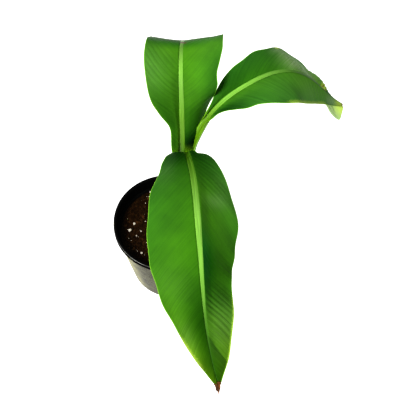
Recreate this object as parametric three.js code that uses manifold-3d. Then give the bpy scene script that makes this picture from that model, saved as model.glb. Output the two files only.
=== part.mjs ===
// A young banana plant in a round nursery pot.
// Millimetres, +Z up. The origin is the middle of the pot's flat underside,
// the front leaf reaches towards -Y and the side leaf towards +X.

import * as THREE from 'three';
import * as BufferGeometryUtils from 'three/addons/utils/BufferGeometryUtils.js';
import Module from 'manifold-3d';

const wasm = await Module();
wasm.setup();

// ---------------------------------------------------------------- driving sizes

const GAP = 0.3;                 // clearance between neighbouring solids

const POT = {
  height: 89.3,
  rimRadius: 53.6,               // outside of the rolled lip
  lipHeight: 5,
  lipStep: 2.4,                  // how far the lip stands out from the wall
  baseRadius: 42.5,
  wall: 1.4,
  floor: 2,
  edgeRound: 1.5,                // the bevel round the foot
  sides: 48,
  drainCount: 6,
  drainRadius: 4.5,
  drainCircle: 30,               // the drain holes' circle radius
};

const MIX = {
  top: 73,                       // the level that the plant grows out of
  lumps: 1.3,                    // how far the surface rolls up and down
  flatRadius: 17,                // level patch round the stem
};

const STEM = {
  foot: [6, 2],                  // where it leaves the mix
  head: [22.5, 0],               // its top, under the leaf stalks
  top: 196,
  footRadius: 13,                // the flare at the mix
  radius: 9.6,                   // above the flare
  headRadius: 8.4,
  flareHeight: 16,
  squash: 0.88,                  // depth over width of the section
  sides: 20,
};

const BLADE = { root: 1.2, edge: 0.8, across: 4, along: 13 };   // thicknesses and steps
const RIB_SIDES = 10;
const RIB_STEPS = 14;

// Each leaf is a midrib that starts at `base` and turns by its headings and pitches.
// Half widths, folds, arches and sweeps are spread evenly along each half blade. A positive
// fold lifts a half blade, an arch bends it across, and a sweep carries its margin forwards.
// Bulges change the outline: where along, by how much and over what length.
const LEAVES = {
  front: {
    stalkFoot: [21.4, -4.5],
    stalkRadius: 3.4,
    base: [24.8, -13, 232],
    length: 212.7,
    heading: [-78.4, -86.6, -88.7, -86.4, -70.8],
    pitch: [34, 8, -14, -32, -46],
    left: {
      width: [15.6, 22, 32.5, 41.7, 39.4, 27.6, 23, 14.8, 1.8],
      fold: [3, -25, -47, -17, 17],
      arch: [-16, -4, 26, 20, 6],
      sweep: [-0.42, -0.05, 0.05, 0.1],
      bulges: [[0.035, -3, 0.03], [0.3, -1.3, 0.07], [0.91, 1, 0.05]],
    },
    right: {
      width: [20.8, 25.9, 38, 42.9, 42.5, 35.5, 23.7, 12.4, 2.4],
      fold: [3, -13, -17, -5, 13],
      arch: [-20, -10, -14, -26, -40],
      sweep: [-0.42, -0.05, 0.05, 0.1],
      bulges: [[0.03, 1.8, 0.022], [0.34, -0.6, 0.12], [0.7, 1.3, 0.05], [0.84, 1, 0.05]],
    },
    roundBase: 0.12,
    bend: 0.5,
    ribRadius: [2.9, 2.8, 2.8, 2.7, 2.15, 1.7, 1, 0.75, 0.7],
    dryTip: 9,
  },
  back: {
    stalkFoot: [19.6, 3.6],
    stalkRadius: 3.3,
    base: [20.6, 3, 210.2],
    length: 216,
    heading: [80.5, 84.8, 87.5, 89.3],
    pitch: [72, 67, 65.6, -30.5, -56, -70, -76],
    left: {
      width: [10.8, 11.5, 25.7, 29.4, 29, 27.6, 22, 12, 2],
      fold: [47, 33, 19, 10, 5, -3, 5],
      arch: [-10, -16, -10, 6, 6, 0, 0],
      sweep: [0, 0.05, 0.05, 0],
      bulges: [[0.06, 1.1, 0.04], [0.18, 1, 0.03], [0.41, 0.8, 0.05]],
    },
    right: {
      width: [10, 14, 18, 21.7, 25.9, 30.6, 33, 34.6, 34.8, 34.6, 33.8, 29.5, 24, 18.6, 13, 7.6, 2],
      fold: [-58, -36, -21, -6, 17, 14, 9.7, 7, 5, 1, -3, 1, 5],
      arch: [-20, -60, -90, -50, -10, -4, 0, 2, 4, 2, 0, 0, 0],
      sweep: [0, 0.05, 0.05, 0],
      bulges: [],
    },
    roundBase: 0.001,
    bend: 0.46,
    ribRadius: [3.2, 2.75, 2.45, 2.1, 1.75, 1.5, 1.2, 0.8, 0.7],
  },
  side: {
    stalkFoot: [26.8, 2],
    stalkRadius: 3.9,
    base: [44.8, 10, 249.4],
    length: 158,
    heading: [19, 12, 8, 6, 2.5, 6.5],
    pitch: [55, 37, 20, -39, -57, -46],
    left: {
      width: [3.6, 5.4, 10, 15.1, 18.8, 21.3, 25.9, 27.2, 30, 27.2, 26, 25, 20, 14, 11, 12.5, 2],
      fold: [37, 34, 31, 26, 21, 12, 3, -4, -11, -14, -17, -21, -28, -50, -82, -122, -135],
      arch: [-20, -15, -10, -8, -6, -9, -12, -16, -20, -16, -8, -8, -105, -185, -190, -215, -230],
      sweep: [0, 0.05, 0.05, 0, 0, 0.05, 0.4, 1.2, 1.2],
      bulges: [[0.95, 1.3, 0.012]],
    },
    right: {
      width: [5.8, 7, 11.3, 17.4, 22.7, 24.2, 27.3, 29.5, 29.1, 27.4, 24.7, 21.4, 17.2, 12.9, 9, 5.5, 2.5],
      fold: [8, 8, -9, -23, -23],
      arch: [-10, -20, -14, 0, 0],
      sweep: [0, 0.05, 0.05, 0],
      bulges: [],
    },
    roundBase: 0.001,
    bend: 0.47,
    ribRadius: [2.8, 2.7, 2.5, 2.4, 1.8, 1.1, 0.75, 0.7, 0.7],
  },
};

// ---------------------------------------------------------------- materials

const potPlastic = new THREE.MeshStandardMaterial({ color: 0x121314, roughness: 0.3, metalness: 0 });
const pottingMix = new THREE.MeshStandardMaterial({ color: 0x2d190c, roughness: 1, metalness: 0 });
const stemGreen = new THREE.MeshStandardMaterial({ color: 0x7fa83c, roughness: 0.45, metalness: 0 });
const ribGreen = new THREE.MeshStandardMaterial({ color: 0x84c84a, roughness: 0.4, metalness: 0 });
const leafGreen = new THREE.MeshStandardMaterial({ color: 0x3b7f22, roughness: 0.4, metalness: 0 });
const dryBrown = new THREE.MeshStandardMaterial({ color: 0x6a4526, roughness: 0.9, metalness: 0 });

// ---------------------------------------------------------------- helpers

const radians = THREE.MathUtils.degToRad;
const lerp = THREE.MathUtils.lerp;
const clamp = THREE.MathUtils.clamp;

// A smooth curve through evenly spaced values, read at t from 0 to 1.
function smooth(values, t) {
  const last = values.length - 1;
  const x = clamp(t, 0, 1) * last;
  const i = Math.min(Math.floor(x), last - 1);
  const f = x - i;
  const p1 = values[i];
  const p2 = values[i + 1];
  const p0 = i > 0 ? values[i - 1] : 2 * p1 - p2;
  const p3 = i < last - 1 ? values[i + 2] : 2 * p2 - p1;
  const a = 2 * p0 - 5 * p1 + 4 * p2 - p3;
  const b = 3 * p1 - p0 - 3 * p2 + p3;
  return (2 * p1 + (p2 - p0) * f + a * f * f + b * f * f * f) / 2;
}

function meshFrom(name, points, triangles, material) {
  const geometry = new THREE.BufferGeometry().setFromPoints(points);
  geometry.setIndex(triangles.flat());
  geometry.computeVertexNormals();
  return named(name, geometry, material);
}

function named(name, geometry, material) {
  const mesh = new THREE.Mesh(geometry, material);
  mesh.name = name;
  return mesh;
}

// A closed tube through rings of points. Each ring turns anticlockwise seen from its own front.
function loft(name, rings, material) {
  const sides = rings[0].length;
  const points = rings.flat();
  const triangles = [];
  for (let i = 0; i < rings.length - 1; i++) {
    for (let j = 0; j < sides; j++) {
      const a = i * sides + j;
      const b = i * sides + (j + 1) % sides;
      triangles.push([a, b, b + sides], [a, b + sides, a + sides]);
    }
  }
  for (const [ring, start, facesBack] of [[rings[0], 0, true], [rings.at(-1), points.length - sides, false]]) {
    const middle = points.length;
    points.push(ring.reduce((sum, p) => sum.add(p), new THREE.Vector3()).divideScalar(sides));
    for (let j = 0; j < sides; j++) {
      const a = start + j;
      const b = start + (j + 1) % sides;
      triangles.push(facesBack ? [middle, b, a] : [middle, a, b]);
    }
  }
  return meshFrom(name, points, triangles, material);
}

// A closed sheet between an upper and a lower grid of points.
// With `flip` the grid's columns run the other way, so its faces are turned round.
function sheet(name, upper, lower, flip, material) {
  const rows = upper.length;
  const columns = upper[0].length;
  const points = [...upper.flat(), ...lower.flat()];
  const at = (side, i, j) => side * rows * columns + i * columns + j;
  const triangles = [];
  const quad = (a, b, c, d) => triangles.push([a, b, c], [a, c, d]);
  for (let i = 0; i < rows - 1; i++) {
    for (let j = 0; j < columns - 1; j++) {
      quad(at(0, i, j), at(0, i, j + 1), at(0, i + 1, j + 1), at(0, i + 1, j));
      quad(at(1, i, j), at(1, i + 1, j), at(1, i + 1, j + 1), at(1, i, j + 1));
    }
  }
  for (let i = 0; i < rows - 1; i++) {
    quad(at(0, i, 0), at(0, i + 1, 0), at(1, i + 1, 0), at(1, i, 0));
    const j = columns - 1;
    quad(at(0, i + 1, j), at(0, i, j), at(1, i, j), at(1, i + 1, j));
  }
  for (let j = 0; j < columns - 1; j++) {
    quad(at(0, 0, j + 1), at(0, 0, j), at(1, 0, j), at(1, 0, j + 1));
    const i = rows - 1;
    quad(at(0, i, j), at(0, i, j + 1), at(1, i, j + 1), at(1, i, j));
  }
  const turned = flip ? triangles.map(([a, b, c]) => [a, c, b]) : triangles;
  return meshFrom(name, points, turned, material);
}

function toSolid(geometry) {
  const bare = geometry.clone();
  bare.deleteAttribute('normal');
  bare.deleteAttribute('uv');
  const merged = BufferGeometryUtils.mergeVertices(bare, 1e-4);
  const vertProperties = new Float32Array(merged.attributes.position.array);
  const triVerts = new Uint32Array(merged.index.array);
  return new wasm.Manifold(new wasm.Mesh({ numProp: 3, vertProperties, triVerts }));
}

function fromSolid(solid) {
  const mesh = solid.getMesh();
  const geometry = new THREE.BufferGeometry();
  geometry.setAttribute('position', new THREE.BufferAttribute(new Float32Array(mesh.vertProperties), 3));
  geometry.setIndex(new THREE.BufferAttribute(new Uint32Array(mesh.triVerts), 1));
  geometry.computeVertexNormals();
  return geometry;
}

// LatheGeometry turns about Y, so the result is stood up along Z.
function lathe(profile, sides) {
  const points = profile.map(([r, z]) => new THREE.Vector2(r, z));
  return new THREE.LatheGeometry(points, sides).rotateX(Math.PI / 2);
}

// ---------------------------------------------------------------- pot

const lipFoot = POT.height - POT.lipHeight;
const wallTop = POT.rimRadius - POT.lipStep;           // the wall's radius under the lip

function wallRadius(z) {
  return lerp(POT.baseRadius, wallTop, z / lipFoot);
}

function pot() {
  const inside = wallTop - POT.wall;
  const bevel = 1;
  const profile = [
    [0, 0],
    [POT.baseRadius - POT.edgeRound, 0],
    [POT.baseRadius, POT.edgeRound],
    [wallTop, lipFoot],
    [POT.rimRadius - bevel / 2, lipFoot],
    [POT.rimRadius, lipFoot + bevel],
    [POT.rimRadius, POT.height - bevel],
    [POT.rimRadius - bevel, POT.height],
    [inside + bevel, POT.height],
    [inside + bevel / 2, POT.height - bevel],
    [inside, lipFoot],
    [wallRadius(POT.floor) - POT.wall, POT.floor],
    [0, POT.floor],
  ];
  let shell = toSolid(lathe(profile, POT.sides));
  for (let i = 0; i < POT.drainCount; i++) {
    const angle = (i + 0.5) / POT.drainCount * 2 * Math.PI;
    const hole = new THREE.CylinderGeometry(POT.drainRadius, POT.drainRadius, 4 * POT.floor, 20);
    hole.rotateX(Math.PI / 2);
    hole.translate(POT.drainCircle * Math.cos(angle), POT.drainCircle * Math.sin(angle), 0);
    shell = shell.subtract(toSolid(hole));
  }
  return named('pot', fromSolid(shell), potPlastic);
}

// ---------------------------------------------------------------- potting mix

function pottingMixBed() {
  const foot = POT.floor + GAP;
  const inside = z => wallRadius(z) - POT.wall - GAP;
  const topRadius = inside(MIX.top - 4);
  const rings = [1, 0.86, 0.7, 0.54, 0.36, 0.18];
  const profile = [
    [0, foot],
    [inside(foot) - GAP, foot],
    [topRadius, MIX.top - 4],
    ...rings.map(r => [(topRadius - 0.5) * r, MIX.top]),
    [0, MIX.top],
  ];
  const geometry = lathe(profile, 36);
  const place = geometry.attributes.position;
  for (let i = 0; i < place.count; i++) {
    if (place.getZ(i) < MIX.top - 0.01) continue;
    const x = place.getX(i);
    const y = place.getY(i);
    const fromStem = Math.hypot(x - STEM.foot[0], y - STEM.foot[1]);
    const free = clamp((fromStem - MIX.flatRadius) / 6, 0, 1);
    const roll = Math.sin(x * 0.23 + 1) * Math.cos(y * 0.19) + 0.5 * Math.sin(x * 0.11 - y * 0.31);
    place.setZ(i, MIX.top + MIX.lumps * free * roll / 1.5);
  }
  return named('potting_mix', geometry, pottingMix);
}

// ---------------------------------------------------------------- pseudostem

// Level rings from the flat cut at the mix up to the fork, flared at the foot.
function pseudostem() {
  const foot = MIX.top + GAP;
  const levels = [0, 0.02, 0.05, 0.09, 0.14, 0.25, 0.4, 0.55, 0.7, 0.85, 1];
  const rings = levels.map(k => {
    const z = lerp(foot, STEM.top, k);
    const sway = k * k * (3 - 2 * k) * 0.4 + k * 0.6;      // a slight S in the lean
    const x = lerp(STEM.foot[0], STEM.head[0], sway);
    const y = lerp(STEM.foot[1], STEM.head[1], sway);
    const flare = (STEM.footRadius - STEM.radius) * Math.exp(-(z - foot) / (STEM.flareHeight / 2));
    const radius = lerp(STEM.radius, STEM.headRadius, k) + flare;
    return Array.from({ length: STEM.sides }, (_, j) => {
      const a = j / STEM.sides * 2 * Math.PI;
      return new THREE.Vector3(x + radius * Math.cos(a), y + radius * STEM.squash * Math.sin(a), z);
    });
  });
  return loft('pseudostem', rings, stemGreen);
}

// ---------------------------------------------------------------- leaves

// The midrib from base to tip: place, direction, and the blade's right and upper sides.
function midrib(leaf) {
  const steps = 240;
  const direction = t => {
    const h = radians(smooth(leaf.heading, t));
    const p = radians(smooth(leaf.pitch, t));
    return new THREE.Vector3(Math.cos(p) * Math.cos(h), Math.cos(p) * Math.sin(h), Math.sin(p));
  };
  const places = [new THREE.Vector3(...leaf.base)];
  for (let i = 0; i < steps; i++) {
    places.push(places[i].clone().addScaledVector(direction((i + 0.5) / steps), leaf.length / steps));
  }
  return t => {
    const x = clamp(t, 0, 1) * steps;
    const i = Math.min(Math.floor(x), steps - 1);
    const h = radians(smooth(leaf.heading, t));
    const along = direction(t);
    const right = new THREE.Vector3(Math.sin(h), -Math.cos(h), 0);
    const up = right.clone().cross(along);
    return { place: places[i].clone().lerp(places[i + 1], x - i), along, right, up };
  };
}

function ribRadius(leaf, t) {
  return smooth(leaf.ribRadius, t);
}

// A point of one half blade, s from 0 beside the rib to 1 at the margin.
function bladePoint(leaf, rib, side, t, s) {
  const { place, along, right, up } = rib(t);
  const half = leaf[side];
  const rounded = Math.min(t / leaf.roundBase, 1);
  const root = ribRadius(leaf, t) + GAP;
  let outline = smooth(half.width, t) * Math.sqrt(rounded * (2 - rounded));
  for (const [middle, height, spread] of half.bulges) {
    outline += height * Math.exp(-(((t - middle) / spread) ** 2));
  }
  const width = Math.max(outline, root + 1);
  const distance = lerp(root, width, s);
  const angle = radians(smooth(half.fold, t) + smooth(half.arch, t) * (s - 1) / 2);
  const sign = side === 'right' ? 1 : -1;
  return place
    .addScaledVector(right, sign * distance * Math.cos(angle))
    .addScaledVector(up, distance * Math.sin(angle))
    .addScaledVector(along, smooth(half.sweep, t) * distance * distance / width);
}

function halfBlade(name, leaf, rib, side, stations) {
  const step = 1e-3;
  const upper = [];
  const lower = [];
  for (const t of stations) {
    const top = [];
    const bottom = [];
    for (let j = 0; j <= BLADE.across; j++) {
      const s = j / BLADE.across;
      const point = bladePoint(leaf, rib, side, t, s);
      const t0 = clamp(t - step, 0, 1);
      const t1 = clamp(t + step, 0, 1);
      const down = bladePoint(leaf, rib, side, t1, s).sub(bladePoint(leaf, rib, side, t0, s));
      const out = bladePoint(leaf, rib, side, t, s + step).sub(bladePoint(leaf, rib, side, t, s - step));
      const normal = out.cross(down).normalize();
      if (side === 'left') normal.negate();
      const half = lerp(BLADE.root, BLADE.edge, Math.max(s, t)) / 2;
      top.push(point.clone().addScaledVector(normal, half));
      bottom.push(point.clone().addScaledVector(normal, -half));
    }
    upper.push(top);
    lower.push(bottom);
  }
  return sheet(name, upper, lower, side === 'left', leafGreen);
}

function ring(place, right, up, radius) {
  return Array.from({ length: RIB_SIDES }, (_, j) => {
    const a = j / RIB_SIDES * 2 * Math.PI;
    return place.clone()
      .addScaledVector(right, radius * Math.cos(a))
      .addScaledVector(up, radius * Math.sin(a));
  });
}

// The ring turns from right towards up, which is anticlockwise seen from behind,
// so rings are listed from the tip back to the base.
function ribPiece(name, leaf, rib, from, to) {
  const rings = Array.from({ length: RIB_STEPS + 1 }, (_, i) => {
    const t = lerp(to, from, i / RIB_STEPS);
    const { place, right, up } = rib(t);
    return ring(place, right, up, ribRadius(leaf, t));
  });
  return loft(name, rings, ribGreen);
}

// The stalk rises upright from the stem's top and bends to meet the midrib.
function stalk(name, leaf, rib) {
  const start = new THREE.Vector3(...leaf.stalkFoot, STEM.top + GAP);
  const { place, along, right } = rib(0);
  const end = place.clone().addScaledVector(along, -GAP);
  const reach = start.distanceTo(end);
  const route = new THREE.CubicBezierCurve3(
    start,
    start.clone().add(new THREE.Vector3(0, 0, reach / 3)),
    end.clone().addScaledVector(along, -reach / 3),
    end,
  );
  const steps = Math.max(4, Math.round(reach / 5));
  const rings = Array.from({ length: steps + 1 }, (_, i) => {
    const k = 1 - i / steps;
    const tangent = route.getTangent(k);
    const across = right.clone().addScaledVector(tangent, -right.dot(tangent)).normalize();
    const full = lerp(STEM.headRadius * 0.4, leaf.stalkRadius, Math.min(1, 3 * k));
    const radius = lerp(full, ribRadius(leaf, 0), clamp(3 * k - 2, 0, 1));
    return ring(route.getPoint(k), across, across.clone().cross(tangent), radius);
  });
  return loft(name, rings, ribGreen);
}

function dryTip(name, leaf, rib) {
  const { place, along, right, up } = rib(1);
  const start = place.addScaledVector(along, GAP + 0.3);
  const rings = [1, 0.6, 0.2, 0].map(k => {
    const radius = lerp(0.5, 1.9, k);
    return ring(start.clone().addScaledVector(along, leaf.dryTip * (1 - k)), right, up, radius);
  });
  return loft(name, rings.reverse(), dryBrown);
}

function leafParts(name, leaf) {
  const rib = midrib(leaf);
  const split = GAP / leaf.length;
  const steps = Array.from({ length: BLADE.along + 1 }, (_, i) => i / BLADE.along);
  const inner = steps.map(k => (leaf.bend - split) * Math.pow(k, 1.4));
  const outer = steps.map(k => 1 - (1 - leaf.bend - split) * Math.pow(1 - k, 1.2));
  const parts = [
    stalk(`${name}_leaf_stalk`, leaf, rib),
    ribPiece(`${name}_leaf_midrib_inner`, leaf, rib, 0, leaf.bend - split),
    ribPiece(`${name}_leaf_midrib_outer`, leaf, rib, leaf.bend + split, 1),
  ];
  for (const side of ['left', 'right']) {
    parts.push(halfBlade(`${name}_leaf_${side}_inner`, leaf, rib, side, inner));
    parts.push(halfBlade(`${name}_leaf_${side}_outer`, leaf, rib, side, outer));
  }
  if (leaf.dryTip) parts.push(dryTip(`${name}_leaf_dry_tip`, leaf, rib));
  return parts;
}

// ---------------------------------------------------------------- assembly

const plant = new THREE.Group();
plant.add(pot(), pottingMixBed(), pseudostem());
for (const [name, leaf] of Object.entries(LEAVES)) {
  plant.add(...leafParts(name, leaf));
}

export default plant;
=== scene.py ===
"""A young banana plant in a round nursery pot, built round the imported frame.

Lengths are in millimetres in the shape functions and become metres when a mesh is made.
"""

import math

import bmesh
import bpy
import numpy as np
from bpy.props import FloatProperty, FloatVectorProperty, IntProperty, PointerProperty
from mathutils import Matrix, Vector, noise


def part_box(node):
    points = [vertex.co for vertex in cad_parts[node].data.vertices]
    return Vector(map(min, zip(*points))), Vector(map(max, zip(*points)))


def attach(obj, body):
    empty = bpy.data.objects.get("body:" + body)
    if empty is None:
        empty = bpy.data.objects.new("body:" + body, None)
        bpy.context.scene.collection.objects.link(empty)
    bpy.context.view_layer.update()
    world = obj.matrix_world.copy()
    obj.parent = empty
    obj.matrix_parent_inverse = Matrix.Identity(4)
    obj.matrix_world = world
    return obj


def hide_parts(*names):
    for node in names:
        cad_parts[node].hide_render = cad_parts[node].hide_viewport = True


bl_info = {
    "name": "Potted banana plant",
    "version": (1, 0, 0),
    "blender": (4, 5, 0),
    "location": "View3D > Sidebar > Banana plant",
    "description": "Builds a young banana plant in a nursery pot round its packed frame",
    "category": "Object",
}

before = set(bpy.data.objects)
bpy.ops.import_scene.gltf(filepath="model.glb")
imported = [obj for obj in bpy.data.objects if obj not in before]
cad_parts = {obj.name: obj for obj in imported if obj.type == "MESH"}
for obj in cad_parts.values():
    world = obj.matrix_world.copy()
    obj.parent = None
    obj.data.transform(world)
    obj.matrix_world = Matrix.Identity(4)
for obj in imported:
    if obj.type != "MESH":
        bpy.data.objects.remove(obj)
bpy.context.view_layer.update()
MM = 0.001
BODY = "root"

POT_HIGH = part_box("pot")[1]
MIX_LOW, MIX_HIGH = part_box("potting_mix")
STEM_LOW, STEM_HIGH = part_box("pseudostem")

# ------------------------------------------------------------------ the plant's shape

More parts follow.
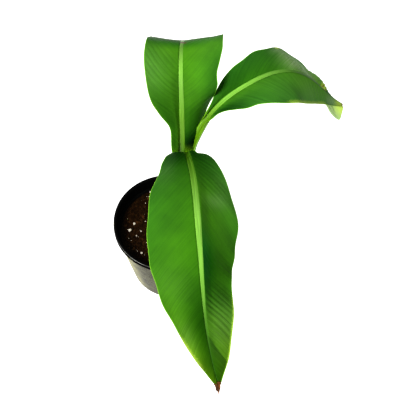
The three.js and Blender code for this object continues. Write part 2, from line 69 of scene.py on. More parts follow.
# Each leaf's stalk leaves the stem at its stalk_foot, and its midrib starts at its base and
# turns by its headings and pitches. A row of single values is spread evenly along the leaf.
# wing: how far the blade runs down the stalk, or if 0, round_base: the share of the blade
# that its round base takes. wave: height, period and start of the margin's waves. tone: how
# light the blade is. cool: how blue its green turns, or below 0 how warm. rib: radius of the
# midrib. rib_tone: from blade green, 0, to rib green, 1. rib_pales: the distances between
# which the rib turns from stalk green to pale green.
# stalk: how far its wall wraps to each side, between which distances it closes to a rib, and
# over which length its groove fades. sheath: how deep it lies in the stem, and above which
# height it opens.
# spots: kind of damage, where along, half blade, where across, radius.
# On a half blade, a fold lifts it, an arch bends it across, and a sweep draws it towards the
# tip. bulges change the outline: where along, by how much, over what length. lobes reach
# back over the stalk: where across, height, breadth. pleats deepen the side veins: where
# along, over what length, gain. creases run out from the midrib, and past each one the blade
# is painted darker as painted shade: where along, height, length, angle. pale_margins: from,
# to, width. The rows of painted light and shade are places painted lighter where light falls
# or darker where shade lies, the rows of painted sheen are places painted silvery as a
# painted reflection, and lush ones are of a purer green: where along, where across, length,
# breadth, strength.
LEAVES = {
    "front": {
        "stalk_foot": (21.4, -4.5),
        "base": (24.8, -13.0, 232.0),
        "length": 212.7,
        "heading": (-78.4, -86.6, -88.7, -86.4, -70.8),
        "pitch": (34, 8, -14, -32, -46),
        "wing": 0.0,
        "round_base": 0.12,
        "wave": (0.8, 34.0, 0.4),
        "tone": 1.0,
        "cool": (1.0, 1.0, 0.5, -0.3, -1.3),
        "rib": (2.9, 2.8, 2.8, 2.7, 2.15, 1.7, 1.0, 0.6, 0.4),
        "rib_tone": (0.35, 0.6, 0.85, 1.0, 1.0, 0.8, 0.3, 0.0, 0.0),
        "rib_pales": (5.0, 70.0),
        "stalk": {"radius": 3.4, "wrap": 88.0, "closes": (-8.0, 26.0), "groove": 30.0},
        "sheath": {"inset": 0.0, "opens": 148.0, "wrap": 150.0},
        "spots": (("dry", 1.0, "both", 0.0, 2.6),),
        "left": {
            "width": (15.6, 22, 32.5, 41.7, 39.4, 27.6, 23, 14.8, 1.8),
            "fold": (3, -25, -47, -17, 17),
            "arch": (-16, -4, 26, 20, 6),
            "sweep": (-0.42, -0.05, 0.05, 0.1),
            "bulges": (
                (0.035, -3.0, 0.03), (0.045, -2.0, 0.014), (0.3, -1.3, 0.07), (0.67, 0.5, 0.04),
                (0.91, 1.0, 0.05),
            ),
            "lobes": ((5.0, 3.0, 2.6), (14.0, 1.8, 3.0)),
            "pleats": ((0.68, 0.08, 5.0),),
            "creases": ((0.8, -0.9, 7.0, 24.0),),
            "pale_margins": ((0.62, 0.98, 1.5),),
            "painted_light_and_shade": (
                (0.04, 0.4, 0.1, 0.8, 0.38), (0.27, 0.5, 0.08, 0.9, 1.36),
                (0.43, 0.3, 0.085, 0.6, 1.5), (0.53, 0.0, 0.1, 0.6, 0.78),
                (0.16, 0.5, 0.07, 0.9, 0.9), (0.66, 0.7, 0.06, 0.35, 0.8),
                (0.76, 0.2, 0.06, 0.5, 1.25), (0.85, 0.6, 0.04, 0.4, 1.15),
                (0.98, 0.5, 0.06, 0.9, 0.65),
            ),
            "painted_sheens": (
                (0.22, 0.85, 0.07, 0.3, 0.12), (0.285, 0.5, 0.03, 0.3, 0.3),
                (0.77, 0.6, 0.11, 0.8, 0.19),
            ),
            "lush": ((0.53, 0.05, 0.11, 0.35, 1.0),),
        },
        "right": {
            "width": (20.8, 25.9, 38, 42.9, 42.5, 35.5, 23.7, 12.4, 2.4),
            "fold": (3, -13, -17, -5, 13),
            "arch": (-20, -10, -14, -26, -40),
            "sweep": (-0.42, -0.05, 0.05, 0.1),
            "bulges": ((0.03, 1.8, 0.022), (0.34, -0.6, 0.12), (0.7, 1.3, 0.05), (0.84, 1.0, 0.05)),
            "lobes": ((10.5, 4.2, 5.0),),
            "pale_margins": ((0.74, 0.97, 2.4),),
            "painted_light_and_shade": (
                (0.03, 0.4, 0.1, 0.8, 0.38), (0.62, 0.65, 0.09, 0.5, 1.16),
                (0.66, 0.1, 0.11, 0.4, 0.82), (0.76, 0.2, 0.07, 0.4, 0.85),
                (0.78, 0.0, 0.13, 0.42, 0.6), (0.86, 0.85, 0.06, 0.25, 1.4),
                (0.91, 0.6, 0.05, 0.6, 0.82), (0.45, 0.45, 0.1, 0.4, 1.15),
            ),
            "painted_sheens": (
                (0.13, 0.75, 0.07, 0.3, 0.12), (0.62, 0.7, 0.09, 0.5, 0.08),
                (0.8, 0.8, 0.07, 0.3, 0.12),
            ),
        },
    },
    "back": {
        "stalk_foot": (19.6, 3.6),
        "base": (20.6, 3.0, 210.2),
        "length": 216.0,
        "heading": (80.5, 84.8, 87.5, 89.3),
        "pitch": (72, 67, 65.6, -30.5, -56, -70, -76),
        "wing": 20.0,
        "wave": (0.6, 41.0, 2.0),
        "tone": 1.3,
        "cool": (0.0, 0.5, 1.0, 1.0, 1.0),
        "rib": (3.2, 2.75, 2.45, 2.1, 1.75, 1.5, 1.2, 0.8, 0.5),
        "rib_tone": (0.55, 0.85, 0.92, 0.95, 0.62, 0.5, 0.4, 0.3, 0.2),
        "rib_pales": (5.0, 70.0),
        "stalk": {"radius": 3.4, "wrap": 84.0, "closes": (-34.0, -8.0), "groove": 12.0},
        "sheath": {"inset": 1.7, "opens": 170.0, "wrap": 174.0},
        "spots": (
            ("dry", 0.512, "both", 0.0, 1.7), ("dry", 0.505, "right", 0.08, 1.4),
            ("dry", 1.0, "both", 0.0, 2.0),
        ),
        "left": {
            "width": (10.8, 11.5, 25.7, 29.4, 29.0, 27.6, 22, 12, 2),
            "fold": (47, 33, 19, 10, 5, -3, 5),
            "arch": (-10, -16, -10, 6, 6, 0, 0),
            "sweep": (0, 0.05, 0.05, 0),
            "bulges": ((0.06, 1.1, 0.04), (0.18, 1.0, 0.03), (0.41, 0.8, 0.05)),
            "pleats": ((0.24, 0.08, 0.8),),
            "pale_margins": ((0.15, 0.3, 0.8),),
            "painted_light_and_shade": (
                (0.06, 0.0, 0.12, 0.25, 1.7), (0.14, 0.7, 0.16, 0.5, 0.62),
                (0.45, 0.3, 0.03, 0.6, 1.3), (0.53, 0.5, 0.03, 2.0, 0.72),
            ),
            "painted_sheens": ((0.37, 0.8, 0.07, 0.5, 0.18),),
            "lush": ((0.5, 0.5, 0.04, 2.0, 0.35),),
        },
        "right": {
            "width": (
                10, 14, 18, 21.7, 25.9, 30.6, 33, 34.6, 34.8, 34.6, 33.8, 29.5, 24, 18.6, 13, 7.6,
                2,
            ),
            "fold": (-20, -16, 17, 9.7, 5, -3, 5),
            "arch": (-80, -90, -10, 0, 4, 0, 0),
            "sweep": (0, 0.05, 0.05, 0),
            "bulges": ((0.335, 0.6, 0.015), (0.37, -1.0, 0.02), (0.43, 0.6, 0.02)),
            "painted_light_and_shade": (
                (0.53, 0.5, 0.025, 2.0, 0.82), (0.0, 0.6, 0.07, 1.2, 0.04),
                (0.05, 0.5, 0.1, 0.9, 0.3), (0.17, 0.5, 0.06, 0.7, 0.7),
                (0.3, 1.0, 0.12, 0.35, 0.5), (0.45, 0.5, 0.03, 0.9, 1.25),
            ),
            "lush": ((0.5, 0.3, 0.04, 0.6, 0.35),),
        },
    },
    "side": {
        "stalk_foot": (26.6, 2.0),
        "base": (44.8, 10.0, 249.4),
        "length": 158.0,
        "heading": (19, 12, 8, 6, 2.5, 6.5),
        "pitch": (55, 37, 20, -39, -57, -46),
        "wing": 34.0,
        "wave": (0.45, 30.0, 1.0),
        "tone": 0.9,
        "cool": (0.7, 1.2, 1.3, 1.6, 1.6),
        "rib": (2.8, 2.7, 2.5, 2.4, 1.8, 1.1, 0.7, 0.5, 0.35),
        "rib_tone": (1.0, 1.0, 0.95, 0.75, 0.4, 0.15, 0.05, 0.0, 0.0),
        "rib_pales": (-10.0, 26.0),
        "stalk": {"radius": 4.3, "wrap": 84.0, "closes": (-8.0, 22.0), "groove": 30.0},
        "sheath": {"inset": 0.9, "opens": 156.0, "wrap": 162.0},
        "spots": (
            ("dry", 0.79, "left", 0.13, 1.1), ("dry", 0.822, "left", 0.13, 0.8),
            ("pale", 0.8, "left", 0.16, 5.0), ("pale", 1.0, "both", 0.0, 11.5),
            ("pale", 0.5, "left", 0.97, 2.5), ("dry", 1.0, "both", 0.0, 2.0),
        ),
        "left": {
            "width": (
                3.6, 5.4, 10, 15.1, 18.8, 21.3, 25.9, 27.2, 30, 27.2, 26, 25, 20, 14, 11, 12.5, 2,
            ),
            "fold": (37, 34, 31, 26, 21, 12, 3, -4, -11, -14, -17, -21, -28, -50, -82, -122, -135),
            "arch": (
                -20, -15, -10, -8, -6, -9, -12, -16, -20, -16, -8, -8, -105, -185, -190, -215, -230,
            ),
            "sweep": (0, 0.05, 0.05, 0, 0, 0.05, 0.4, 1.2, 1.2),
            "bulges": ((0.95, 1.3, 0.012),),
            "pleats": ((0.77, 0.06, 4.0),),
            "painted_light_and_shade": (
                (0.22, 0.5, 0.12, 0.8, 0.68), (0.57, 0.5, 0.07, 0.6, 2.3),
                (0.7, 0.4, 0.1, 0.9, 1.45), (0.73, 0.3, 0.05, 0.6, 1.8),
            ),
            "painted_sheens": (
                (0.56, 0.5, 0.06, 0.5, 1.3), (0.68, 0.2, 0.06, 0.5, 0.75),
                (0.5, 0.85, 0.04, 0.2, 0.7), (0.92, 0.4, 0.06, 0.9, 0.9),
            ),
        },
        "right": {
            "width": (
                5.8, 7, 11.3, 17.4, 22.7, 24.2, 27.3, 29.5, 29.1, 27.4, 24.7, 21.4, 17.2, 12.9, 9,
                5.5, 2.5,
            ),
            "fold": (8, 8, -9, -23, -23),
            "arch": (-10, -20, -14, 0, 0),
            "sweep": (0, 0.05, 0.05, 0),
            "pale_margins": ((0.42, 0.9, 3.2),),
            "painted_light_and_shade": (
                (0.22, 0.1, 0.2, 0.3, 1.45), (0.14, 0.8, 0.12, 0.4, 0.45),
                (0.57, 0.3, 0.08, 0.5, 1.2), (0.72, 0.5, 0.2, 0.9, 1.75),
            ),
            "painted_sheens": ((0.65, 0.5, 0.3, 0.9, 0.12), (0.91, 0.4, 0.06, 0.9, 0.9)),
        },
    },
}

STEM_FOOT = (6.0, 2.0)
STEM_HEAD = (22.5, 0.0)
STEM_FOOT_RADIUS = 13.0
STEM_RADIUS = (9.6, 8.4)
STEM_FLARE = 16.0
STEM_SQUASH = 0.88
STEM_BOTTOM = STEM_LOW.z / MM
STEM_TOP = STEM_HIGH.z / MM
VEIN_ANGLES = (30.0, 44.0, 50.0, 48.0, 30.0)   # side veins against the midrib, in degrees


def smooth(values, t):
    """A smooth curve through evenly spaced values, read at t from 0 to 1."""
    v = np.asarray(values, float)
    last = len(v) - 1
    x = np.clip(t, 0, 1) * last
    i = np.minimum(x.astype(int), last - 1)
    f = x - i
    p1, p2 = v[i], v[i + 1]
    p0 = np.where(i > 0, v[np.maximum(i - 1, 0)], 2 * p1 - p2)
    p3 = np.where(i < last - 1, v[np.minimum(i + 2, last)], 2 * p2 - p1)
    a = 2 * p0 - 5 * p1 + 4 * p2 - p3
    b = 3 * p1 - p0 - 3 * p2 + p3
    return (2 * p1 + (p2 - p0) * f + a * f ** 2 + b * f ** 3) / 2


def ease(x):
    """0 to 1 with a level start and end."""
    x = np.clip(x, 0, 1)
    return x * x * (3 - 2 * x)


def unit(v):
    return v / np.linalg.norm(v, axis=-1, keepdims=True)


def bell(x, middle, spread):
    """1 at the middle, fading to 0 on both sides."""
    return np.exp(-(((x - middle) / spread) ** 2))


def stem_share(z):
    """How far up the pseudostem a height is, from 0 to 1."""
    return np.clip((z - STEM_BOTTOM) / (STEM_TOP - STEM_BOTTOM), 0, 1)


def stem_centre(z):
    k = stem_share(z)
    sway = (ease(k) * 0.4 + k * 0.6)[:, None]
    foot, head = np.array(STEM_FOOT), np.array(STEM_HEAD)
    return np.column_stack([foot + (head - foot) * sway, z])


def stem_radius(z):
    k = stem_share(z)
    flare = (STEM_FOOT_RADIUS - STEM_RADIUS[0]) * np.exp(-(z - STEM_BOTTOM) / (STEM_FLARE / 2))
    return STEM_RADIUS[0] + (STEM_RADIUS[1] - STEM_RADIUS[0]) * k + flare


class Axis:
    """A leaf's middle line, from its sheath's foot at the mix, up its stalk and along its midrib.

    `reach` is the distance from the blade's base, and is negative on the stalk and sheath."""

    def __init__(self, leaf):
        heading = np.radians(leaf["heading"][0])
        side = np.array([math.sin(heading), -math.cos(heading), 0.0])
        stem = self.sheath_places(leaf)
        stalk = self.stalk_places(leaf)
        lower = np.vstack([stem, stalk])
        for _ in range(5):
            lower[1:-1] = (lower[:-2] + 2 * lower[1:-1] + lower[2:]) / 4
        steps = 260
        middle = (np.arange(steps) + 0.5) / steps
        walk = self.direction(leaf, middle) * leaf["length"] / steps
        upper = np.vstack([[0, 0, 0], np.cumsum(walk, 0)]) + np.array(leaf["base"])
        t = np.linspace(0, 1, steps + 1)
        h = np.radians(smooth(leaf["heading"], t))
        upper_right = np.column_stack([np.sin(h), -np.cos(h), 0 * h])
        lower_along = unit(np.gradient(lower, axis=0))
        blend = ease(np.linspace(-4, 1, len(lower)))[:, None]
        lower_along = unit(lower_along * (1 - blend) + self.direction(leaf, t[:1]) * blend)
        lower_right = unit(side - lower_along * (lower_along @ side)[:, None])
        self.place = np.vstack([lower[:-1], upper])
        self.along = np.vstack([lower_along[:-1], self.direction(leaf, t)])
        self.right = np.vstack([lower_right[:-1], upper_right])
        self.up = np.cross(self.right, self.along)
        lengths = np.linalg.norm(np.diff(self.place, axis=0), axis=1)
        self.reach = np.concatenate([[0], np.cumsum(lengths)])
        self.reach -= self.reach[len(lower) - 1]

    @staticmethod
    def direction(leaf, t):
        h = np.radians(smooth(leaf["heading"], t))
        p = np.radians(smooth(leaf["pitch"], t))
        return np.column_stack([np.cos(p) * np.cos(h), np.cos(p) * np.sin(h), np.sin(p)])

    @staticmethod
    def sheath_places(leaf):
        z = np.linspace(STEM_BOTTOM, STEM_TOP, 60)
        centre = stem_centre(z)
        opening = ease((z - leaf["sheath"]["opens"]) / (STEM_TOP - leaf["sheath"]["opens"]))
        shift = np.array(leaf["stalk_foot"]) - np.array(STEM_HEAD)
        centre[:, :2] += shift * opening[:, None]
        return centre

    @staticmethod
    def stalk_places(leaf):
        start = np.array([*leaf["stalk_foot"], STEM_TOP])
        end = np.array(leaf["base"])
        along = Axis.direction(leaf, np.zeros(1))[0]
        reach = np.linalg.norm(end - start)
        a, b = start + [0, 0, reach / 3], end - along * reach / 3
        k = np.linspace(0, 1, max(8, int(reach / 2)))[1:, None]
        rest = 1 - k
        return start * rest ** 3 + 3 * a * k * rest ** 2 + 3 * b * k ** 2 * rest + end * k ** 3

    def at(self, reach):
        """Place, along, right and up at these distances."""
        place, along, right, up = (
            np.column_stack([np.interp(reach, self.reach, column) for column in rows.T])
            for rows in (self.place, self.along, self.right, self.up)
        )
        return place, unit(along), unit(right), unit(up)


def rib_radius(leaf, t):
    return smooth(leaf["rib"], t)


def gutter_radius(leaf, reach):
    """Radius of the open stalk, which narrows to the midrib."""
    low = leaf["stalk"]["radius"]
    return low + (rib_radius(leaf, reach / leaf["length"]) - low) * ease((reach + 22) / 34)


def gutter_edge(leaf, reach):
    """Where the stalk's wall ends, out from the leaf's middle line and above it."""
    radius = gutter_radius(leaf, reach) - 0.2
    wrap = math.radians(leaf["stalk"]["wrap"])
    return radius * math.sin(wrap), -radius * math.cos(wrap)


# ------------------------------------------------------------------ mesh helpers


def finish_mesh(name, points, faces, materials, face_material=None):
    """A mesh object in metres at the origin, with its faces turned outwards."""
    mesh = bpy.data.meshes.new(name)
    mesh.from_pydata((np.asarray(points) * MM).tolist(), [], faces)
    for material in materials:
        mesh.materials.append(material)
    if face_material is not None:
        mesh.polygons.foreach_set("material_index", face_material)
    mesh.polygons.foreach_set("use_smooth", [True] * len(mesh.polygons))
    turned = bmesh.new()
    turned.from_mesh(mesh)
    bmesh.ops.recalc_face_normals(turned, faces=turned.faces)
    turned.to_mesh(mesh)
    turned.free()
    return add_object(name, mesh)


def add_object(name, data):
    made = bpy.data.objects.new(name, data)
    bpy.context.scene.collection.objects.link(made)
    return made


def add_uv(piece, name, u, v):
    """A UV map from one pair of values for each vertex."""
    layer = piece.data.uv_layers.new(name=name)
    index = np.empty(len(piece.data.loops), int)
    piece.data.loops.foreach_get("vertex_index", index)
    layer.data.foreach_set("uv", np.column_stack([u[index], v[index]]).ravel())


def add_value(piece, name, values):
    attribute = piece.data.attributes.new(name, "FLOAT", "POINT")
    attribute.data.foreach_set("value", np.asarray(values, np.float32))


def place(piece, slot, *nodes):
    """Hands a finished piece to the frame, in place of these nodes."""
    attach(piece, BODY)
    if nodes:
        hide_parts(*nodes)


def grid_faces(rows, columns, start=0, closed=False):
    """Quads of a grid of vertices. A closed grid joins its last column to its first."""
    last = columns if closed else columns - 1
    i, j = np.meshgrid(np.arange(rows - 1), np.arange(last), indexing="ij")
    k = (j + 1) % columns
    a, b = i * columns + j, i * columns + k
    return (np.stack([a, b, b + columns, a + columns], -1).reshape(-1, 4) + start).tolist()


def ring_tube(rings, ends=None):
    """Vertices and faces of a closed tube through rings of equal length.

    Its ends close on these two points, or if there are none, on the middles of the rings."""
    rows, columns = rings.shape[:2]
    faces = grid_faces(rows, columns, closed=True)
    points = np.vstack([rings.reshape(-1, 3), *(ends or (rings[0].mean(0), rings[-1].mean(0)))])
    for first, middle in ((0, rows * columns), ((rows - 1) * columns, rows * columns + 1)):
        faces += [[first + j, first + (j + 1) % columns, middle] for j in range(columns)]
    return points, faces


def wobble(x, y, scale, seed):
    """Repeatable soft noise from -1 to 1 at one point in millimetres."""
    return noise.noise(Vector((x * scale + seed, y * scale - seed, 2 * seed)))


# ------------------------------------------------------------------ material helpers


def add(tree, kind, inputs=None, **settings):
    """A node with its settings, and inputs that are values or sockets to link."""
    node = tree.nodes.new(kind)
    for key, value in settings.items():
        setattr(node, key, value)
    return feed(tree, node, inputs or {})


def feed(tree, node, inputs):
    """Sets a node's inputs, by name or number, to values or to sockets to link."""
    for key, value in inputs.items():
        if isinstance(value, bpy.types.NodeSocket):
            tree.links.new(value, node.inputs[key])
        else:
            node.inputs[key].default_value = value
    return node


def maths(tree, operation, a, b=0.0, c=0.0, clamp=False):
    settings = {"operation": operation, "use_clamp": clamp}
    return add(tree, "ShaderNodeMath", {0: a, 1: b, 2: c}, **settings).outputs[0]


def remap(tree, value, low, high, to_low=0.0, to_high=1.0):
    names = ("Value", "From Min", "From Max", "To Min", "To Max")
    inputs = dict(zip(names, (value, low, high, to_low, to_high)))
    return add(tree, "ShaderNodeMapRange", inputs, clamp=True).outputs["Result"]


def mix_colour(tree, factor, a, b, blend="MIX"):
    inputs = {0: factor, 6: a, 7: b}
    return add(tree, "ShaderNodeMix", inputs, data_type="RGBA", blend_type=blend).outputs[2]


def carried(tree, name):
    """A value that the piece's mesh carries."""
    return add(tree, "ShaderNodeAttribute", attribute_name=name).outputs["Fac"]


def roughen(tree, shader, height, strength, distance):
    """Small relief on a surface, up to a distance in millimetres."""
    inputs = {"Height": height, "Strength": strength, "Distance": distance * MM}
    feed(tree, shader, {"Normal": add(tree, "ShaderNodeBump", inputs).outputs[0]})


def once(make):
    """Makes a named material or node group only if the file doesn't have it yet."""
    def find_or_make(name, *values):
        return bpy.data.materials.get(name) or bpy.data.node_groups.get(name) or make(name, *values)
    return find_or_make


def group_tree(name, inputs, outputs, kind="ShaderNodeTree"):
    """A node group with typed sockets, and its input and output nodes."""
    tree = bpy.data.node_groups.new(name, kind)
    for socket, sort, value in inputs:
        made = tree.interface.new_socket(name=socket, in_out="INPUT", socket_type=sort)
        if value is not None:
            made.default_value = value
    for socket, sort in outputs:
        tree.interface.new_socket(name=socket, in_out="OUTPUT", socket_type=sort)
    return tree, tree.nodes.new("NodeGroupInput"), tree.nodes.new("NodeGroupOutput")


def new_material(name):
    """An empty material tree with a Principled shader wired to its output."""
    material = bpy.data.materials.new(name)
    material.use_nodes = True
    tree = material.node_tree
    tree.nodes.clear()
    shader = tree.nodes.new("ShaderNodeBsdfPrincipled")
    output = tree.nodes.new("ShaderNodeOutputMaterial")
    tree.links.new(shader.outputs[0], output.inputs["Surface"])
    return material, tree, shader


def colour(value):
    return (*value, 1.0)


def shade(value, factor):
    return (*[min(c * factor, 1.0) for c in value], 1.0)


@once
def vein_group(name):
    """Streaks along the side veins, from a UV map that runs across them and along them."""
    tree, start, end = group_tree(
        name,
        [
            ("Vector", "NodeSocketVector", None), ("Fine", "NodeSocketFloat", 120.0),
            ("Broad", "NodeSocketFloat", 20.0), ("Lines", "NodeSocketFloat", 42.0),
        ],
        [(output, "NodeSocketFloat") for output in ("Fine", "Broad", "Lines", "Height")],
    )
    parts = add(tree, "ShaderNodeSeparateXYZ", {0: start.outputs["Vector"]})
    across, along = parts.outputs[0], parts.outputs[1]
    streaks = {}
    for key, stretch, detail in (("Fine", 4.0, 2.0), ("Broad", 1.2, 3.0), ("Lines", 2.2, 1.0)):
        x = maths(tree, "MULTIPLY", across, start.outputs[key])
        y = maths(tree, "MULTIPLY", along, stretch)
        point = add(tree, "ShaderNodeCombineXYZ", {0: x, 1: y}).outputs[0]
        inputs = {"Vector": point, "Scale": 1.0, "Detail": detail, "Roughness": 0.5}
        streaks[key] = add(tree, "ShaderNodeTexNoise", inputs, noise_dimensions="2D").outputs["Fac"]
    half_fine = maths(tree, "MULTIPLY", streaks["Fine"], 0.5)
    height = maths(tree, "MULTIPLY_ADD", streaks["Lines"], 0.5, half_fine)
    feed(tree, end, {**streaks, "Height": height})
    return tree


@once
def mottle_group(name):
    """Soft blotches and small grain in the piece's own space."""
    tree, start, end = group_tree(
        name,
        [
            ("Vector", "NodeSocketVector", None), ("Blotch", "NodeSocketFloat", 40.0),
            ("Grain", "NodeSocketFloat", 900.0),
        ],
        [("Blotch", "NodeSocketFloat"), ("Grain", "NodeSocketFloat")],
    )
    for socket, detail in (("Blotch", 3.0), ("Grain", 4.0)):
        inputs = {
            "Vector": start.outputs["Vector"], "Scale": start.outputs[socket],
            "Detail": detail, "Roughness": 0.6,
        }
        feed(tree, end, {socket: add(tree, "ShaderNodeTexNoise", inputs).outputs["Fac"]})
    return tree


def side_veins(tree, **scales):
    """The vein group's outputs, on the piece's own map and at these scales."""
    uv = add(tree, "ShaderNodeUVMap", uv_map="veins").outputs[0]
    inputs = {"Vector": uv, **scales}
    return add(tree, "ShaderNodeGroup", inputs, node_tree=vein_group("Side veins")).outputs


def mottle(tree, blotch, grain):
    """The mottle group's outputs, at these scales."""
    where = add(tree, "ShaderNodeTexCoord").outputs["Object"]
    inputs = {"Vector": where, "Blotch": blotch, "Grain": grain}
    return add(tree, "ShaderNodeGroup", inputs, node_tree=mottle_group("Mottle")).outputs


# ------------------------------------------------------------------ properties


def tint(name, description, default):
    return FloatVectorProperty(
        name=name, description=description, default=default, size=3,
        subtype="COLOR", min=0.0, max=1.0,
    )


class PlantColours(bpy.types.PropertyGroup):
    """The plant's and the pot's colours."""

    leaf: tint("Leaf", "Upper side of the blades", (0.062, 0.195, 0.008))
    leaf_dark: tint("Leaf shade", "Darker streaks of the blades", (0.034, 0.114, 0.007))
    leaf_under: tint("Leaf underside", "Lower side of the blades", (0.31, 0.41, 0.165))
    margin: tint("Leaf margin", "Thin pale edge of the blades", (0.30, 0.60, 0.06))
    rib: tint("Midrib", "Pale green of the midribs", (0.205, 0.42, 0.070))
    stalk: tint("Stalk", "Yellow-green of the stalks", (0.12, 0.245, 0.008))
    sheath: tint("Sheath", "Leaf sheaths of the pseudostem", (0.30, 0.42, 0.11))
    foot: tint("Stem foot", "Pinkish brown foot of the pseudostem", (0.30, 0.19, 0.09))
    dry: tint("Dry leaf", "Dry tips and bruises", (0.13, 0.055, 0.018))
    pale: tint("Pale spot", "Yellowed leaf", (0.42, 0.55, 0.10))
    # Painted sheen: a silvery colour painted where a bent blade would catch a reflection.
    painted_sheen: tint("Painted_sheen", "Silvery bloom where the blade bends over", (0.34, 0.44, 0.26))
    pot: tint("Pot", "Black plastic", (0.005, 0.005, 0.005))
    # This ivory is also painted light: it lightens the wall's lit side and paints glints on the
    # lip.
    dust_and_painted_light: tint("Dust_and_painted_light", "Ivory dust on the pot's lower wall", (0.34, 0.33, 0.20))
    mix: tint("Potting mix", "Dark moist mix", (0.022, 0.010, 0.0035))
    perlite: tint("Perlite", "White grains", (0.72, 0.66, 0.58))


def extent(name, description, millimetres):
    default = millimetres * MM
    return FloatProperty(name=name, description=description, default=default, unit="LENGTH")


class PlantSizes(bpy.types.PropertyGroup):
    """Sizes that a user may want to change."""

    blade_root: extent("Blade thickness", "Thickness beside the midrib", 0.5)
    blade_edge: extent("Margin thickness", "Thickness at the margin", 0.22)
    vein_spacing: extent("Vein spacing", "Distance between the raised side veins", 5.4)
    vein_relief: extent("Vein relief", "Height of the side veins", 0.07)
    lip_height: extent("Lip height", "Depth of the pot's rolled lip", 5)
    lip_step: extent("Lip step", "How far the lip stands out", 2.4)
    pot_foot: extent("Foot radius", "Radius of the pot's foot", 42.5)
    pot_wall: extent("Pot wall", "Thickness of the pot's wall", 1.4)
    crumb_seed: IntProperty(name="Crumb seed", description="Seed of the mix's crumbs", default=7)


def colours():
    return bpy.context.scene.banana_colours


def sizes():
    return bpy.context.scene.banana_sizes


# ------------------------------------------------------------------ materials

# what a blade's green is multiplied by where it is cool, warm or lush
COOL_TINT = (0.9, 1.0, 4.5)
WARM_TINT = (2.2, 0.95, 0.5)
LUSH_TINT = (0.1, 1.0, 0.3)
POT_GRAIN = (0.10, 0.095, 0.085)   # grey of the plastic's grain
POT_PAINTED_HIGHLIGHT = (0.55, 0.55, 0.52)       # painted highlight along the lip's rolled edge


def ragged(tree, name, grain, low, high):
    """A painted patch with a grainy edge."""
    edge = maths(tree, "SUBTRACT", carried(tree, name), 0.35)
    return remap(tree, maths(tree, "MULTIPLY_ADD", grain, 0.7, edge), low, high)


@once
def leaf_surface(name, base, dark, roughness, specular, relief, margin, coolness):
    """A leaf side: streaks along the veins, a pale margin, yellow and dry spots, painted light and
    shade, painted sheen.
    """
    c = colours()
    material, tree, shader = new_material(name)
    veins = side_veins(tree, Fine=140.0, Broad=22.0, Lines=66.0)
    patches = mottle(tree, 24.0, 1400.0)
    streak = remap(tree, veins["Broad"], 0.3, 0.7)
    fine = remap(tree, veins["Fine"], 0.3, 0.7)
    lines = remap(tree, veins["Lines"], 0.34, 0.48)
    amount = maths(tree, "MULTIPLY", remap(tree, patches["Blotch"], 0.35, 0.65), 0.46)
    for streaks, share in ((streak, 0.14), (lines, 0.18), (fine, 0.22)):
        amount = maths(tree, "MULTIPLY_ADD", streaks, share, amount)
    green = mix_colour(tree, amount, colour(dark), colour(base))
    # The tone carries painted light and shade, and its darker places turn a deeper green.
    tone = carried(tree, "tone")
    red = maths(tree, "POWER", tone, 1.4)
    deep = add(tree, "ShaderNodeCombineColor", {0: red, 1: tone, 2: tone}).outputs[0]
    green = mix_colour(tree, 1.0, green, deep, "MULTIPLY")
    cool = carried(tree, "cool")
    chill = maths(tree, "MULTIPLY", cool, coolness, clamp=True)
    warmth = maths(tree, "MULTIPLY", cool, -coolness, clamp=True)
    lush = carried(tree, "lush")
    for share, factors in ((chill, COOL_TINT), (warmth, WARM_TINT), (lush, LUSH_TINT)):
        green = mix_colour(tree, share, green, colour(factors), "MULTIPLY")
    stalk = carried(tree, "stalk")
    stalk_green = mix_colour(tree, fine, shade(c.stalk, 0.8), shade(c.stalk, 1.4))
    green = mix_colour(tree, stalk, green, stalk_green)
    rim = remap(tree, carried(tree, "edge"), 0.1, 0.7, margin, 0.0)
    rim = maths(tree, "MULTIPLY", rim, remap(tree, stalk, 0.0, 1.0, 1.0, 0.35))
    green = mix_colour(tree, rim, green, colour(c.margin))
    # Painted sheen: a silvery colour painted where a bent blade would catch a reflection.
    painted_sheen = maths(tree, "MULTIPLY_ADD", fine, 0.5, 0.2)
    painted_sheen = maths(tree, "MULTIPLY", carried(tree, "painted_sheen"), painted_sheen)
    green = mix_colour(tree, painted_sheen, green, colour(c.painted_sheen))
    for key, paint, most in (("pale", c.pale, 0.8), ("dry", c.dry, 1.0)):
        patch = maths(tree, "MULTIPLY", ragged(tree, key, patches["Grain"], 0.2, 0.7), most)
        green = mix_colour(tree, patch, green, colour(paint))
    rough = remap(tree, patches["Blotch"], 0.3, 0.7, roughness - 0.04, roughness + 0.06)
    feed(tree, shader, {"Base Color": green, "Roughness": rough, "Specular IOR Level": specular})
    roughen(tree, shader, veins["Height"], relief, 0.3)
    return material


def leaf_materials():
    c = colours()
    under_dark = [v * 0.72 for v in c.leaf_under]
    return [
        leaf_surface("leaf_upper_side", c.leaf, c.leaf_dark, 0.40, 0.03, 0.26, 0.7, 0.45),
        leaf_surface("leaf_lower_side", c.leaf_under, under_dark, 0.62, 0.3, 0.6, 0.3, 0.0),
    ]


